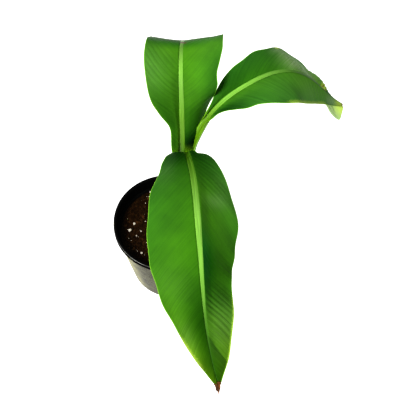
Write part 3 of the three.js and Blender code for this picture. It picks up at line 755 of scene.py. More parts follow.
@once
def rib_material(name):
    """Stalk, midrib and sheath: pinkish foot, pale sheath, light green stalk and rib."""
    c = colours()
    material, tree, shader = new_material(name)
    reach = carried(tree, "reach")
    veins = side_veins(tree, Fine=90.0, Broad=16.0)
    patches = mottle(tree, 55.0, 1500.0)
    streak = remap(tree, veins["Broad"], 0.3, 0.7)
    fine = remap(tree, veins["Fine"], 0.3, 0.7)
    pale = mix_colour(tree, fine, shade(c.rib, 0.75), shade(c.rib, 1.25))
    stalk = mix_colour(tree, fine, shade(c.stalk, 0.7), shade(c.stalk, 1.3))
    rib = mix_colour(tree, carried(tree, "paleness"), stalk, pale)
    rib = mix_colour(tree, carried(tree, "bloom"), colour(c.leaf_dark), rib)
    sheath = mix_colour(tree, streak, shade(c.sheath, 0.62), shade(c.sheath, 1.15))
    foot = mix_colour(tree, streak, shade(c.foot, 0.6), shade(c.foot, 1.3))
    level = maths(tree, "MULTIPLY_ADD", streak, 9.0, carried(tree, "level"))
    tone = mix_colour(tree, remap(tree, level, 80.0, 108.0), foot, sheath)
    tone = mix_colour(tree, remap(tree, reach, -64.0, -36.0), tone, rib)
    keel = mix_colour(tree, remap(tree, reach, 0.0, 30.0, 0.08, 0.4), tone, colour(c.leaf_under))
    tone = mix_colour(tree, carried(tree, "inside"), keel, tone)
    edge = remap(tree, carried(tree, "edge"), 0.0, 1.0, 0.75, 0.0)
    tone = mix_colour(tree, edge, tone, shade(c.margin, 0.9))
    tone = mix_colour(tree, ragged(tree, "dry", patches["Grain"], 0.25, 0.6), tone, colour(c.dry))
    rough = remap(tree, patches["Blotch"], 0.3, 0.7, 0.34, 0.5)
    feed(tree, shader, {"Base Color": tone, "Roughness": rough})
    roughen(tree, shader, veins["Height"], 0.5, 0.3)
    return material


@once
def grain_material(name, base, low, high, roughness, blotch, grain, relief):
    """Crumbly or dry stuff, in tones from low to high times its base colour."""
    material, tree, shader = new_material(name)
    patches = mottle(tree, blotch, grain)
    share = remap(tree, patches["Blotch"], 0.35, 0.65)
    tone = mix_colour(tree, share, shade(base, low), shade(base, high))
    feed(tree, shader, {"Base Color": tone, "Roughness": roughness})
    roughen(tree, shader, patches["Grain"], *relief)
    return material


@once
def pot_material(name, specular, roughness):
    """Thin black moulded plastic, with a dusty lower wall painted lighter on its lit side, and
    painted glints and a painted highlight on the lip.
    """
    c = colours()
    material, tree, shader = new_material(name)
    patches = mottle(tree, 70.0, 1100.0)
    grain = remap(tree, patches["Grain"], 0.42, 0.72)
    blotch = remap(tree, patches["Blotch"], 0.3, 0.7, 0.35, 1.0)
    dust_and_light_film = maths(tree, "MULTIPLY", carried(tree, "dust_and_painted_light"), blotch)
    # Painted glints: pale specks painted on the lip.
    painted_glints = remap(tree, patches["Blotch"], 0.6, 0.66, 0.0, 0.5)
    painted_glints = maths(tree, "MULTIPLY", painted_glints, carried(tree, "lip"))
    tone = colour(c.pot)
    for share, layer in (
        (maths(tree, "MULTIPLY", grain, 0.1), colour(POT_GRAIN)), (dust_and_light_film, colour(c.dust_and_painted_light)),
        (painted_glints, shade(c.dust_and_painted_light, 1.5)), (carried(tree, "painted_highlight"), colour(POT_PAINTED_HIGHLIGHT)),
    ):
        tone = mix_colour(tree, share, tone, layer)
    rough = maths(tree, "MULTIPLY_ADD", dust_and_light_film, 0.25, roughness)
    rough = maths(tree, "MULTIPLY_ADD", grain, 0.14, rough)
    feed(tree, shader, {"Base Color": tone, "Roughness": rough, "Specular IOR Level": specular})
    roughen(tree, shader, patches["Grain"], 0.12, 0.2)
    return material


# ------------------------------------------------------------------ pot and mix

POT_ROLL = 1.2 * MM        # radius of the lip's rolled edges
POT_FLOOR = 2.0 * MM
POT_LEDGE = 9.0 * MM       # from the lip's foot down to the step inside the wall
POT_COLUMNS = 144          # round the pot
DRAIN_HOLES = 6
DRAIN_RADIUS = 4.5 * MM
DRAIN_RING = 30 * MM       # radius of the ring of holes
BED_COLUMNS = 120          # round the mix's surface
BED_RINGS = 46             # from its edge to its middle
STEM_HOLE = 12.0           # radius round the stem that stays free of crumbs


def pot_wall_radius(z):
    """Outside radius of the pot's wall under the lip."""
    s = sizes()
    top = POT_HIGH.x - s.lip_step
    lip_foot = POT_HIGH.z - s.lip_height
    return s.pot_foot + (top - s.pot_foot) * z / lip_foot


def arc(centre, radius, start, stop, steps):
    """Points of an arc in the profile plane, angles in degrees."""
    angles = np.radians(np.linspace(start, stop, steps))
    return [(centre[0] + radius * math.cos(a), centre[1] + radius * math.sin(a)) for a in angles]


def revolve(name, profile, segments, materials, bend):
    """A closed turned body, bent. The profile starts and ends on the axis, in metres."""
    profile = np.array(profile) / MM
    angles = np.arange(segments) / segments * 2 * math.pi
    inner = profile[1:-1]
    rings = np.zeros((len(inner), segments, 3))
    rings[..., 0] = inner[:, :1] * np.cos(angles)
    rings[..., 1] = inner[:, :1] * np.sin(angles)
    rings[..., 2] = inner[:, 1:]
    ends = [[0, 0, profile[k, 1]] for k in (0, -1)]
    return finish_mesh(name, *ring_tube(bend(rings, angles), ends), materials)


def cut(piece, cutters):
    """Takes the cutters out of the piece, and makes the result its mesh."""
    for cutter in cutters:
        modifier = piece.modifiers.new("hole", "BOOLEAN")
        modifier.operation = "DIFFERENCE"
        modifier.solver = "EXACT"
        modifier.object = cutter
    evaluated = piece.evaluated_get(bpy.context.evaluated_depsgraph_get())
    made = bpy.data.meshes.new_from_object(evaluated)
    piece.modifiers.clear()
    old = piece.data
    piece.data = made
    bpy.data.meshes.remove(old)
    for cutter in cutters:
        bpy.data.objects.remove(cutter)


class BANANA_OT_pot(bpy.types.Operator):
    """Build the thin nursery pot with its rolled lip and drain holes"""

    bl_idname = "banana.pot"
    bl_label = "Pot"

    def execute(self, context):
        s = sizes()
        top, rim = POT_HIGH.z, POT_HIGH.x
        lip_foot = top - s.lip_height
        wall_top = pot_wall_radius(lip_foot)
        wall = s.pot_wall
        profile = [(0, 0.6 * MM), (s.pot_foot * 0.55, 0.6 * MM), (s.pot_foot * 0.6, 0.05 * MM)]
        profile += arc((s.pot_foot - 2 * MM, 1.6 * MM), 1.6 * MM, -90, -20, 6)
        walls = [0.032, 0.04, *np.linspace(0.1, 1, 15)]
        profile += [(pot_wall_radius(lip_foot * k), lip_foot * k) for k in walls[:-1]]
        profile += [(wall_top, lip_foot - 0.2 * MM), (wall_top + 0.3 * MM, lip_foot)]
        profile += arc((rim - 0.6 * MM, lip_foot + 0.6 * MM), 0.6 * MM, -90, 0, 4)
        profile += arc((rim - POT_ROLL, top - POT_ROLL), POT_ROLL, 0, 90, 7)
        inside = wall_top - wall + POT_ROLL + 0.6 * MM
        profile += arc((inside, top - POT_ROLL), POT_ROLL, 90, 180, 7)
        ledge = lip_foot - POT_LEDGE
        profile += [(wall_top - wall + 0.1 * MM, lip_foot), (wall_top - wall, ledge)]
        profile += [(pot_wall_radius(ledge) - wall - 0.7 * MM, ledge - 1.2 * MM)]
        for k in (0.8, 0.6, 0.4, 0.2):
            profile.append((pot_wall_radius(k * ledge) - wall - 0.3 * MM, k * ledge))
        profile.append((pot_wall_radius(POT_FLOOR) - wall - 1.5 * MM, POT_FLOOR))
        profile.append((0, POT_FLOOR + 0.4 * MM))

        def soften(rings, angles):
            """Bends the round pot a little out of true, most at its rim."""
            height = rings[..., 2] / (top / MM)
            oval = 0.5 * np.cos(2 * (angles - math.radians(135)))
            sag = oval + 0.14 * np.sin(5 * angles + 2.0) - 0.1
            rings[..., :2] *= (1 + sag / (rim / MM) * height ** 2)[..., None]
            return rings

        plastic = pot_material("black_pot_plastic", 0.028, 0.2)
        pot = revolve("pot_shell", profile, POT_COLUMNS, [plastic], soften)
        cutters = []
        for i in range(DRAIN_HOLES):
            angle = (i + 0.5) / DRAIN_HOLES * 2 * math.pi
            bpy.ops.mesh.primitive_cylinder_add(
                vertices=28, radius=DRAIN_RADIUS, depth=12 * MM,
                location=(DRAIN_RING * math.cos(angle), DRAIN_RING * math.sin(angle), 0),
            )
            cutters.append(context.object)
        cut(pot, cutters)
        self.wear(pot, top, lip_foot)
        mesh = pot.data
        # The lip mirrors nothing; its highlight is painted.
        mesh.materials.append(pot_material("glossy_pot_lip", 0.0, 0.1))
        on_lip = [face.center.z > lip_foot + 0.1 * MM for face in mesh.polygons]
        mesh.polygons.foreach_set("material_index", on_lip)
        mesh.polygons.foreach_set("use_smooth", [True] * len(mesh.polygons))
        mesh.set_sharp_from_angle(angle=math.radians(50))
        place(pot, "pot_plastic", "pot")
        return {"FINISHED"}

    @staticmethod
    def wear(pot, top, lip_foot):
        """Marks where the pot is dusty and painted lighter, where its lip is, and where its painted
        highlight runs.
        """
        co = np.array([v.co for v in pot.data.vertices])
        normal = np.array([v.normal for v in pot.data.vertices])
        around, z = np.arctan2(co[:, 1], co[:, 0]), co[:, 2]
        outer = (normal[:, :2] * co[:, :2]).sum(1) > 0.3 * np.hypot(co[:, 0], co[:, 1])
        low = np.clip(1 - z / lip_foot, 0, 1)
        dust_and_light_amount = 0.24 + 0.14 * low + 0.05 * np.sin(5 * around)
        # Painted light: the wall is painted ivory on its lit left side.
        dust_and_light_amount += 1.15 * ease((-np.cos(around - 0.2) - 0.72) / 0.27)
        wall = outer & (z < lip_foot) & (z > 0.036 * lip_foot)
        add_value(pot, "dust_and_painted_light", np.where(wall, dust_and_light_amount, 0.0))
        add_value(pot, "lip", np.where(outer & (z > lip_foot), 1.0, 0.0))
        turn = np.degrees(around)
        # A painted highlight along the lip's rolled edge, brightest at the front left, weaker at
        # the back left.
        brightness = 0.1 + 0.75 * bell(turn, -128, 24) + 0.3 * bell(turn, 122, 30)
        edge = bell(np.degrees(np.arcsin(np.clip(normal[:, 2], -1, 1))), 62, 12)
        patchy = 0.7 + 0.3 * np.sin(23 * around) * np.sin(9 * around + 1)
        highlighted = outer & (z > top - 1.5 * POT_ROLL)
        add_value(pot, "painted_highlight", np.where(highlighted, edge * patchy * brightness, 0.0))


# Larger perlite grains that lie in plain view, as x, y and size.
PERLITE = (
    (-34.3, 7.8, 2.5), (-38.7, 0.2, 3.2), (-27.5, -1.6, 1.7), (-32.0, -6.4, 1.6),
    (-27.3, -25.5, 2.7), (-22.9, 9.8, 1.4), (-17.5, 44.0, 2.2), (18.0, 31.0, 3.0),
    (33.0, 12.0, 2.6), (27.0, -20.0, 3.2), (2.0, -34.0, 2.4), (-6.0, 26.0, 2.8),
    (36.0, -6.0, 2.0), (12.0, -24.0, 2.6), (-14.0, -38.0, 2.2),
)


def bed_height(x, y):
    """The mix's surface in millimetres, with smaller waves round the stem."""
    near = math.hypot(x - STEM_FOOT[0], y - STEM_FOOT[1])
    free = min(max((near - 9) / 8, 0), 1)
    waves = ((1.5, 0.06, 3.1), (1.0, 0.17, 8.4), (0.5, 0.45, 1.7))
    roll = sum(height * wobble(x, y, scale, seed) for height, scale, seed in waves)
    return MIX_HIGH.z / MM - 1.6 + roll * (0.35 + 0.65 * free)


def grain_tree(name, on_faces):
    """Geometry Nodes that set rough grains on a surface, or on its points."""
    tree, start, end = group_tree(
        name,
        [
            ("Geometry", "NodeSocketGeometry", None), ("Density", "NodeSocketFloat", 1.0),
            ("Smallest", "NodeSocketFloat", 0.001), ("Largest", "NodeSocketFloat", 0.002),
            ("Flatness", "NodeSocketFloat", 0.7), ("Roughness", "NodeSocketFloat", 0.3),
            ("Facets", "NodeSocketInt", 2), ("Seed", "NodeSocketInt", 0),
            ("Material", "NodeSocketMaterial", None),
        ],
        [("Geometry", "NodeSocketGeometry")],
        "GeometryNodeTree",
    )
    start = start.outputs
    seed = {"Seed": start["Seed"]}
    if on_faces:
        inputs = {"Mesh": start["Geometry"], "Density": start["Density"], **seed}
        points = add(tree, "GeometryNodeDistributePointsOnFaces", inputs).outputs["Points"]
        inputs = {2: start["Smallest"], 3: start["Largest"], **seed}
        width = add(tree, "FunctionNodeRandomValue", inputs, data_type="FLOAT").outputs[1]
    else:
        inputs = {"Mesh": start["Geometry"]}
        points = add(tree, "GeometryNodeMeshToPoints", inputs).outputs["Points"]
        inputs = {"Name": "size"}
        width = add(tree, "GeometryNodeInputNamedAttribute", inputs, data_type="FLOAT").outputs[0]
    ball = add(tree, "GeometryNodeMeshIcoSphere", {"Radius": 0.5, "Subdivisions": start["Facets"]})
    inputs = {0: (-0.5, -0.5, -3.1), 1: (0.5, 0.5, 3.1), **seed}
    turn = add(tree, "FunctionNodeRandomValue", inputs, data_type="FLOAT_VECTOR").outputs[0]
    tall = maths(tree, "MULTIPLY", width, start["Flatness"])
    scale = add(tree, "ShaderNodeCombineXYZ", {0: width, 1: width, 2: tall}).outputs[0]
    inputs = {"Points": points, "Instance": ball.outputs["Mesh"], "Rotation": turn, "Scale": scale}
    set_out = add(tree, "GeometryNodeInstanceOnPoints", inputs).outputs[0]
    real = add(tree, "GeometryNodeRealizeInstances", {0: set_out}).outputs[0]
    position = add(tree, "GeometryNodeInputPosition").outputs[0]
    inputs = {"Vector": position, "Scale": 420.0, "Detail": 1.0}
    rough = add(tree, "ShaderNodeTexNoise", inputs).outputs["Color"]
    inputs = {0: rough, 1: (0.5, 0.5, 0.5)}
    centred = add(tree, "ShaderNodeVectorMath", inputs, operation="SUBTRACT").outputs[0]
    inputs = {0: centred, "Scale": maths(tree, "MULTIPLY", start["Roughness"], start["Largest"])}
    offset = add(tree, "ShaderNodeVectorMath", inputs, operation="SCALE").outputs[0]
    moved = add(tree, "GeometryNodeSetPosition", {"Geometry": real, "Offset": offset}).outputs[0]
    inputs = {"Geometry": moved, "Material": start["Material"]}
    feed(tree, end, {0: add(tree, "GeometryNodeSetMaterial", inputs).outputs[0]})
    return tree


def grains(name, host, tree, **values):
    """Runs a grain tree on a host mesh and returns the grains as a plain mesh piece."""
    modifier = host.modifiers.new("grains", "NODES")
    modifier.node_group = tree
    for item in tree.interface.items_tree:
        if item.in_out == "INPUT" and item.name in values:
            modifier[item.identifier] = values[item.name]
    host.update_tag()
    evaluated = host.evaluated_get(bpy.context.evaluated_depsgraph_get())
    mesh = bpy.data.meshes.new_from_object(evaluated)
    host.modifiers.remove(modifier)
    mesh.name = name
    return add_object(name, mesh)


class BANANA_OT_mix(bpy.types.Operator):
    """Fill the pot with crumbly potting mix, bark bits and perlite"""

    bl_idname = "banana.mix"
    bl_label = "Potting mix"

    def execute(self, context):
        c, s = colours(), sizes()
        crumbly = lambda name, base, spread, roughness, fine: grain_material(
            name, base, 1 - spread, 1 + spread, roughness, fine, fine * 5, (0.8, 0.5)
        )
        mix = crumbly("potting_mix_bed", c.mix, 0.5, 0.95, 420.0)
        crumb = crumbly("mix_crumb", [v * 1.5 for v in c.mix], 0.6, 0.9, 300.0)
        bark = crumbly("bark_bit", [v * 2.6 for v in c.mix], 0.5, 0.85, 240.0)
        white = crumbly("perlite", c.perlite, 0.14, 0.75, 700.0)
        edge = pot_wall_radius(MIX_HIGH.z) / MM - s.pot_wall / MM - 0.5
        angles = np.arange(BED_COLUMNS) / BED_COLUMNS * 2 * math.pi
        rings = []
        for share in np.linspace(1, 0.02, BED_RINGS):
            ring = [(edge * share * math.cos(a), edge * share * math.sin(a)) for a in angles]
            rings.append([(x, y, bed_height(x, y)) for x, y in ring])
        rings = np.array(rings)
        low = rings[0].copy()
        low[:, :2] *= (pot_wall_radius(MIX_LOW.z) / MM - 4) / edge
        low[:, 2] = MIX_LOW.z / MM + 0.2
        bed = finish_mesh("mix_bed", *ring_tube(np.concatenate([[low], rings])), [mix])
        place(bed, "potting_mix", "potting_mix")

        faces = grid_faces(len(rings) - 2, BED_COLUMNS, closed=True)
        surface = finish_mesh("mix_surface", rings[2:].reshape(-1, 3), faces, [])
        kept = bmesh.new()
        kept.from_mesh(surface.data)
        stem, hole = Vector(STEM_FOOT) * MM, STEM_HOLE * MM
        bare = [f for f in kept.faces if (f.calc_center_median().xy - stem).length < hole]
        bmesh.ops.delete(kept, geom=bare, context="FACES")
        kept.to_mesh(surface.data)
        kept.free()
        scatter = grain_tree("Scattered grains", True)
        seed = s.crumb_seed
        # name, material, grains per square metre, smallest, largest, flatness, roughness,
        # facets and step of the seed
        kinds = (
            ("mix_crumbs", crumb, 340000.0, 0.8, 2.6, 0.8, 0.7, 1, 0),
            ("bark_bits", bark, 16000.0, 2.2, 5.2, 0.3, 0.35, 1, 1),
            ("small_perlite", white, 13000.0, 0.5, 1.2, 0.85, 0.4, 2, 2),
        )
        for name, material, density, small, large, flat, rough, facets, step in kinds:
            piece = grains(
                name, surface, scatter, Density=density, Smallest=small * MM, Largest=large * MM,
                Flatness=flat, Roughness=rough, Facets=facets, Seed=seed + step, Material=material,
            )
            place(piece, "potting_mix")
        bpy.data.objects.remove(surface)

        spots = [(x, y, bed_height(x, y) + 0.25 * size) for x, y, size in PERLITE]
        points = finish_mesh("perlite_points", spots, [], [])
        add_value(points, "size", [size * MM for _, _, size in PERLITE])
        piece = grains(
            "large_perlite", points, grain_tree("Placed grains", False), Largest=3 * MM,
            Flatness=0.8, Roughness=0.45, Facets=3, Seed=seed, Material=white,
        )
        bpy.data.objects.remove(points)
        place(piece, "potting_mix")
        return {"FINISHED"}


# ------------------------------------------------------------------ sheaths, stalks and ribs

RIB_COLUMNS = 20                    # on the outside of a section, and again on its inside
STALK_ROWS = 110                    # up the sheath and the stalk
RIB_ROWS = 170                      # along the midrib
CORE_TOP = 186.0
CORE_DOME = (187.5, 188.6, 189.2)   # heights over which the stem's core rounds off


def rib_sections(leaf, axis, reach):
    """Closed sections of one leaf's sheath, stalk and midrib, and their depth from its edge.

    Low down the section is a band that wraps the stem; on the stalk it is a gutter; along
    the blade it closes to a half round keel under a shallow groove that fades out."""
    around = RIB_COLUMNS
    centre, _, right, up = axis.at(reach)
    z = centre[:, 2]
    t = reach / leaf["length"]
    sheath, stalk = leaf["sheath"], leaf["stalk"]
    opening = ease((z - sheath["opens"]) / (STEM_TOP - sheath["opens"]))
    opening = np.where(reach > -2, 1.0, opening)
    on_stem = stem_radius(z) - sheath["inset"]
    rib = rib_radius(leaf, t)
    start, stop = stalk["closes"]
    closed = ease((reach - start) / (stop - start))
    gutter = gutter_radius(leaf, reach)
    radius = on_stem * (1 - opening) + gutter * opening
    wrap = np.radians(sheath["wrap"] * (1 - opening) + stalk["wrap"] * opening)
    back = 1.15 * (1 - opening) + 0.62 * gutter * opening
    squash = STEM_SQUASH + (1 - STEM_SQUASH) * opening
    groove = 0.42 * np.exp(-np.clip(reach - start, 0, None) / stalk["groove"]) + 0.05
    groove *= 1 + 6 * ease((t - 0.68) / 0.2)
    rings = np.zeros((len(reach), 2 * around, 3))
    edge = np.zeros((len(reach), 2 * around))
    for k in range(2 * around):
        outside = k < around
        share = 2 * k / (around - 1) - 1 if outside else 1 - 2 * (k - around) / (around - 1)
        angle = wrap * share
        thick = 0.0 if outside else back + (0.35 - back) * abs(share) ** 1.5
        band_x = (radius - thick) * np.sin(angle)
        band_y = -(radius - thick) * np.cos(angle)
        turn = math.radians(86 if outside else 80) * share
        if outside:
            keel_x, keel_y = rib * math.sin(turn), -1.05 * rib * math.cos(turn)
        else:
            across = math.sin(turn)
            keel_x = rib * across * 0.97
            keel_y = rib * (0.26 * math.cos(turn) - groove * math.exp(-((across / 0.4) ** 2)))
        x = band_x * (1 - closed) + keel_x * closed
        y = band_y * (1 - closed) + keel_y * closed
        offset = right * x[:, None] + up * y[:, None]
        offset[:, 1] *= squash
        rings[:, k] = centre + offset
        edge[:, k] = (1 - abs(share)) * radius * wrap + 20 * closed
    return rings, edge


def bruise(leaf, kind, reach, side, across):
    """How strongly a kind of damage shows at a distance along and across, from 0 to 1."""
    strength = np.zeros(np.broadcast(reach, across).shape)
    for spot, t, where, share, radius in leaf["spots"]:
        if spot != kind or where not in ("both", side):
            continue
        middle = 0.0 if side == "rib" else share * smooth(leaf[side]["width"], np.array([t]))[0]
        distance = np.hypot(reach - t * leaf["length"], across - middle)
        strength = np.maximum(strength, bell(distance, 0, radius))
    return strength


def build_rib(name, leaf):
    axis = Axis(leaf)
    low = np.linspace(axis.reach[0], 0, STALK_ROWS)[:-1]
    high = leaf["length"] * np.linspace(0, 1, RIB_ROWS) ** 1.05 * 0.997
    reach = np.concatenate([low, high])
    rings, edge = rib_sections(leaf, axis, reach)
    points, faces = ring_tube(rings)
    rows = np.repeat(reach, 2 * RIB_COLUMNS)
    side = np.tile(np.repeat([0.0, 1.0], RIB_COLUMNS), len(reach))
    turn = np.linspace(0, 1, RIB_COLUMNS)
    turn = np.tile(np.concatenate([turn, turn[::-1]]), len(reach))
    green_to, pale_from = leaf["rib_pales"]
    dry = np.repeat(bruise(leaf, "dry", reach, "rib", 0 * reach), 2 * RIB_COLUMNS)
    ends = lambda values: np.concatenate([values, values[:1], values[-1:]])
    piece = finish_mesh(f"{name}_leaf_rib", points, faces, [rib_material("rib_and_sheath")])
    add_uv(piece, "veins", ends(turn * 0.22), ends(rows / 100))
    for key, values in {
        "reach": rows,
        "bloom": smooth(leaf["rib_tone"], rows / leaf["length"]),
        "paleness": np.clip((rows - green_to) / (pale_from - green_to), 0, 1),
        "inside": side,
        "edge": edge.ravel(),
        "dry": dry,
    }.items():
        add_value(piece, key, ends(values))
    add_value(piece, "level", points[:, 2])
    return piece


def stem_core():
    """The closed innermost roll of sheaths that fills the pseudostem."""
    z = np.concatenate([np.linspace(STEM_BOTTOM, CORE_TOP, 60), CORE_DOME])
    radius = stem_radius(z) - 2.7
    radius[-3:] *= (0.86, 0.6, 0.3)
    radius *= 1 - 0.25 * ease((z - 150) / 36)
    centre = stem_centre(z)
    angles = np.arange(40) / 40 * 2 * math.pi
    rings = np.zeros((len(z), len(angles), 3))
    rings[..., 0] = centre[:, :1] + radius[:, None] * np.cos(angles)
    rings[..., 1] = centre[:, 1:2] + radius[:, None] * np.sin(angles) * STEM_SQUASH
    rings[..., 2] = z[:, None]
    points, faces = ring_tube(rings)
    piece = finish_mesh("stem_core", points, faces, [rib_material("rib_and_sheath")])
    turn = np.concatenate([np.tile(angles / 20, len(z)), [0, 0]])
    add_uv(piece, "veins", turn, points[:, 2] / 100)
    for key, value in {
        "reach": -60.0, "inside": 1.0, "edge": 20.0, "dry": 0.0, "bloom": 0.5, "paleness": 0.0,
    }.items():
        add_value(piece, key, np.full(len(points), value))
    add_value(piece, "level", points[:, 2])
    return piece


class BANANA_OT_stem(bpy.types.Operator):
    """Roll the pseudostem from its leaf sheaths, and run each on as stalk and midrib"""

    bl_idname = "banana.stem"
    bl_label = "Pseudostem, stalks and midribs"

    def execute(self, context):
        place(stem_core(), "stem_green", "pseudostem")
        for name, leaf in LEAVES.items():
            nodes = [f"{name}_leaf_{part}" for part in ("stalk", "midrib_inner", "midrib_outer")]
            place(build_rib(name, leaf), "rib_green", *nodes)
        return {"FINISHED"}


# ------------------------------------------------------------------ blades

ROW_SPACING = 0.85     # along the blade
BLADE_COLUMNS = 34     # from midrib to margin
WING_FOLD = 78.0       # how steeply the blade's wings stand on the stalk, in degrees


def blade_points(leaf, side, reach, share):
    """The middle surface of a half blade, its points' distances from the midrib, its width.

    `reach` is a column of rows along the blade, and `share` a row from midrib to margin."""
    t = np.clip(reach / leaf["length"], 0, 1)
    half, wing = leaf[side], leaf["wing"]
    rounded = np.ones_like(t) if wing else np.clip(t / leaf["round_base"], 0, 1)
    width = smooth(half["width"], t) * np.sqrt(rounded * (2 - rounded))
    for middle, height, spread in half.get("bulges", ()):
        width = width + height * bell(t, middle, spread)
    root = rib_radius(leaf, t) * 0.84
    width = np.maximum(width, root + 0.25)
    # A wing stands up as it runs down the stalk.
    rise = ease((6 - reach) / 18) if wing else np.zeros_like(t)
    fold = smooth(half["fold"], t)
    fold = fold + (WING_FOLD - fold) * rise
    arch = smooth(half["arch"], t) * (share - 1) / 2 * (1 - rise)
    distance = root + (width - root) * share
    angle = np.radians(fold + arch)
    swept = smooth(half["sweep"], t) * distance ** 2 / width
    for middle, height, spread in half.get("lobes", ()):
        lobe = height * bell(distance, middle, spread) * np.exp(-t / 0.03)
        swept = swept - lobe * ease((distance - root) / 4)
    out, high = distance * np.cos(angle), distance * np.sin(angle)
    # The blade's root is seated on the midrib's side.
    seat = 1 - ease(share * 3.5)
    out += (root - out[:, :1]) * seat
    high += (0.06 * root - high[:, :1]) * seat
    if wing:
        wall_out, wall_high = gutter_edge(leaf, reach)
        stand = np.maximum(width - gutter_radius(leaf, reach), 0.4) * (1 - ease(-reach / 16))
        stand = (stand + 0.6 * (1 - ease(-reach / wing))) * share + 0.05
        out += (wall_out + stand * np.cos(angle) - out) * rise
        high += (wall_high + stand * np.sin(angle) - high) * rise
    out *= 1 if side == "right" else -1
    centre, along, right, up = (rows[:, None] for rows in Axis(leaf).at(reach))
    points = centre + right * out[..., None] + up * high[..., None] + along * swept[..., None]
    return points, distance, width


def surface_normals(points):
    down = np.gradient(points, axis=0)
    out = np.gradient(points, axis=1)
    return unit(np.cross(out, down) + 1e-12)


def sheet(points, normals, thick):
    """Vertices, faces and material numbers of a closed sheet round a grid of points."""
    rows, columns = points.shape[:2]
    total = rows * columns
    sides = [(points + normals * (k * thick / 2)[..., None]).reshape(-1, 3) for k in (1, -1)]
    top = grid_faces(rows, columns)
    under = grid_faces(rows, columns, start=total)
    border = [i * columns for i in range(rows)]
    border += [(rows - 1) * columns + j for j in range(1, columns)]
    border += [i * columns + columns - 1 for i in range(rows - 2, -1, -1)]
    border += [j for j in range(columns - 2, 0, -1)]
    walls = [[a, b, b + total, a + total] for a, b in zip(border, border[1:] + border[:1])]
    kinds = [0] * len(top) + [1] * len(under) + [0] * len(walls)
    return np.vstack(sides), top + under + walls, kinds


def soft_places(half, kind, t, share):
    """How near each point of a half blade is to each soft place of a kind, and its value."""
    for along, across, length, breadth, value in half.get(kind, ()):
        yield np.exp(-(((t - along) / length) ** 2) - ((share - across) / breadth) ** 2), value


def blade_relief(leaf, side, t, share, distance, phase, past_crease):
    """How high waves, creases and side veins stand above the blade's middle surface."""
    s, half = sizes(), leaf[side]
    height, period, start = leaf["wave"]
    start += 1.3 if side == "left" else 0.0
    lift = height * share ** 2.5 * np.sin(2 * math.pi * phase / period + start)
    lift *= ease(t * 8) * ease((1 - t) * 10)
    for middle, drop, length, angle in half.get("creases", ()):
        lift += drop * np.exp(-np.abs(past_crease(middle, angle)) / length) * ease(share * 3)
    # The margin turns up towards the tip.
    lift += 0.7 * np.clip((share - 0.82) / 0.18, 0, 1) ** 2 * ease((t - 0.55) * 6)
    # Side veins of uneven height, and not quite straight.
    uneven = 1 + 0.6 * np.sin(phase / 17.0 + start) + 0.5 * np.sin(phase / 5.3 + distance / 9)
    for middle, spread, gain in half.get("pleats", ()):
        uneven = uneven + gain * bell(phase / leaf["length"], middle, spread)
    sway = phase + 0.9 * np.sin(phase / 11.0 + distance / 14)
    sway = sway + 0.5 * np.sin(distance / 6 + phase / 4)
    veins = s.vein_relief / MM * uneven * np.sin(2 * math.pi * sway / (s.vein_spacing / MM))
    return lift + veins * (ease(share * 6) * ease((1 - share) * 8))


def build_blade(name, leaf, side):
    """One half blade: a thin closed sheet with raised side veins and a gently waved margin."""
    s, half, wing = sizes(), leaf[side], leaf["wing"]
    rows = int((leaf["length"] + wing) / ROW_SPACING)
    reach = np.linspace(-wing, leaf["length"], rows)[:, None]
    if not wing:
        reach = leaf["length"] * np.linspace(0, 1, rows)[:, None] ** 1.25
    share = 1 - (1 - np.linspace(0, 1, BLADE_COLUMNS)) ** 1.15
    t = np.clip(reach / leaf["length"], 0, 1)
    points, distance, width = blade_points(leaf, side, reach, share)
    normals = surface_normals(points)
    if side == "left":
        normals = -normals
    # `phase` is where a point's side vein leaves the midrib.
    slant = 1 / np.tan(np.radians(smooth(VEIN_ANGLES, t)))
    phase = reach - distance * slant - 0.15 * distance ** 2 / width
    past_crease = lambda middle, angle: (
        reach - distance / math.tan(math.radians(angle)) - middle * leaf["length"]
    )
    relief = blade_relief(leaf, side, t, share, distance, phase, past_crease)
    points = points + normals * relief[..., None]
    thick = (s.blade_root + (s.blade_edge - s.blade_root) * np.maximum(share, t)) / MM
    vertices, faces, kinds = sheet(points, normals, thick)
    piece = finish_mesh(f"{name}_leaf_{side}_blade", vertices, faces, leaf_materials(), kinds)

    edge = width - distance
    pale = bruise(leaf, "pale", reach, side, distance)
    for low, high, band in half.get("pale_margins", ()):
        window = ease((t - low) * 12) * ease((high - t) * 12)
        pale = np.maximum(pale, 0.55 * window * bell(edge, 0, band))
    tone = np.full(edge.shape, leaf["tone"])
    # Painted light and shade: the tone is made lighter where light falls and darker where shade
    # lies.
    for nearness, gain in soft_places(half, "painted_light_and_shade", t, share):
        tone *= 1 + (gain - 1) * nearness
    # Painted shade: past each crease the blade is painted darker.
    for middle, _, length, angle in half.get("creases", ()):
        past = past_crease(middle, angle)
        tone *= 1 - 0.36 * ease(past / 1.6 + 0.5) * np.exp(-np.clip(past, 0, None) / (5 * length))
    # Painted sheen, a painted reflection, and lush places of a purer green.
    painted_sheen_and_lush = {"painted_sheen": np.zeros(edge.shape), "lush": np.zeros(edge.shape)}
    for key, kind in (("painted_sheen", "painted_sheens"), ("lush", "lush")):
        for nearness, amount in soft_places(half, kind, t, share):
            painted_sheen_and_lush[key] += amount * nearness
    both_sides = lambda values: np.tile(np.broadcast_to(values, edge.shape).ravel(), 2)
    add_uv(piece, "veins", both_sides(phase / 100), both_sides(distance / 100))
    for key, values in {
        "edge": edge,
        "dry": bruise(leaf, "dry", reach, side, distance),
        "pale": pale,
        "tone": tone,
        **painted_sheen_and_lush,
        "cool": smooth(leaf["cool"], t) * (0.3 + 0.7 * share),
        "stalk": ease((10 - reach) / 16) if wing else 0.0,
    }.items():
        add_value(piece, key, both_sides(values))
    return piece


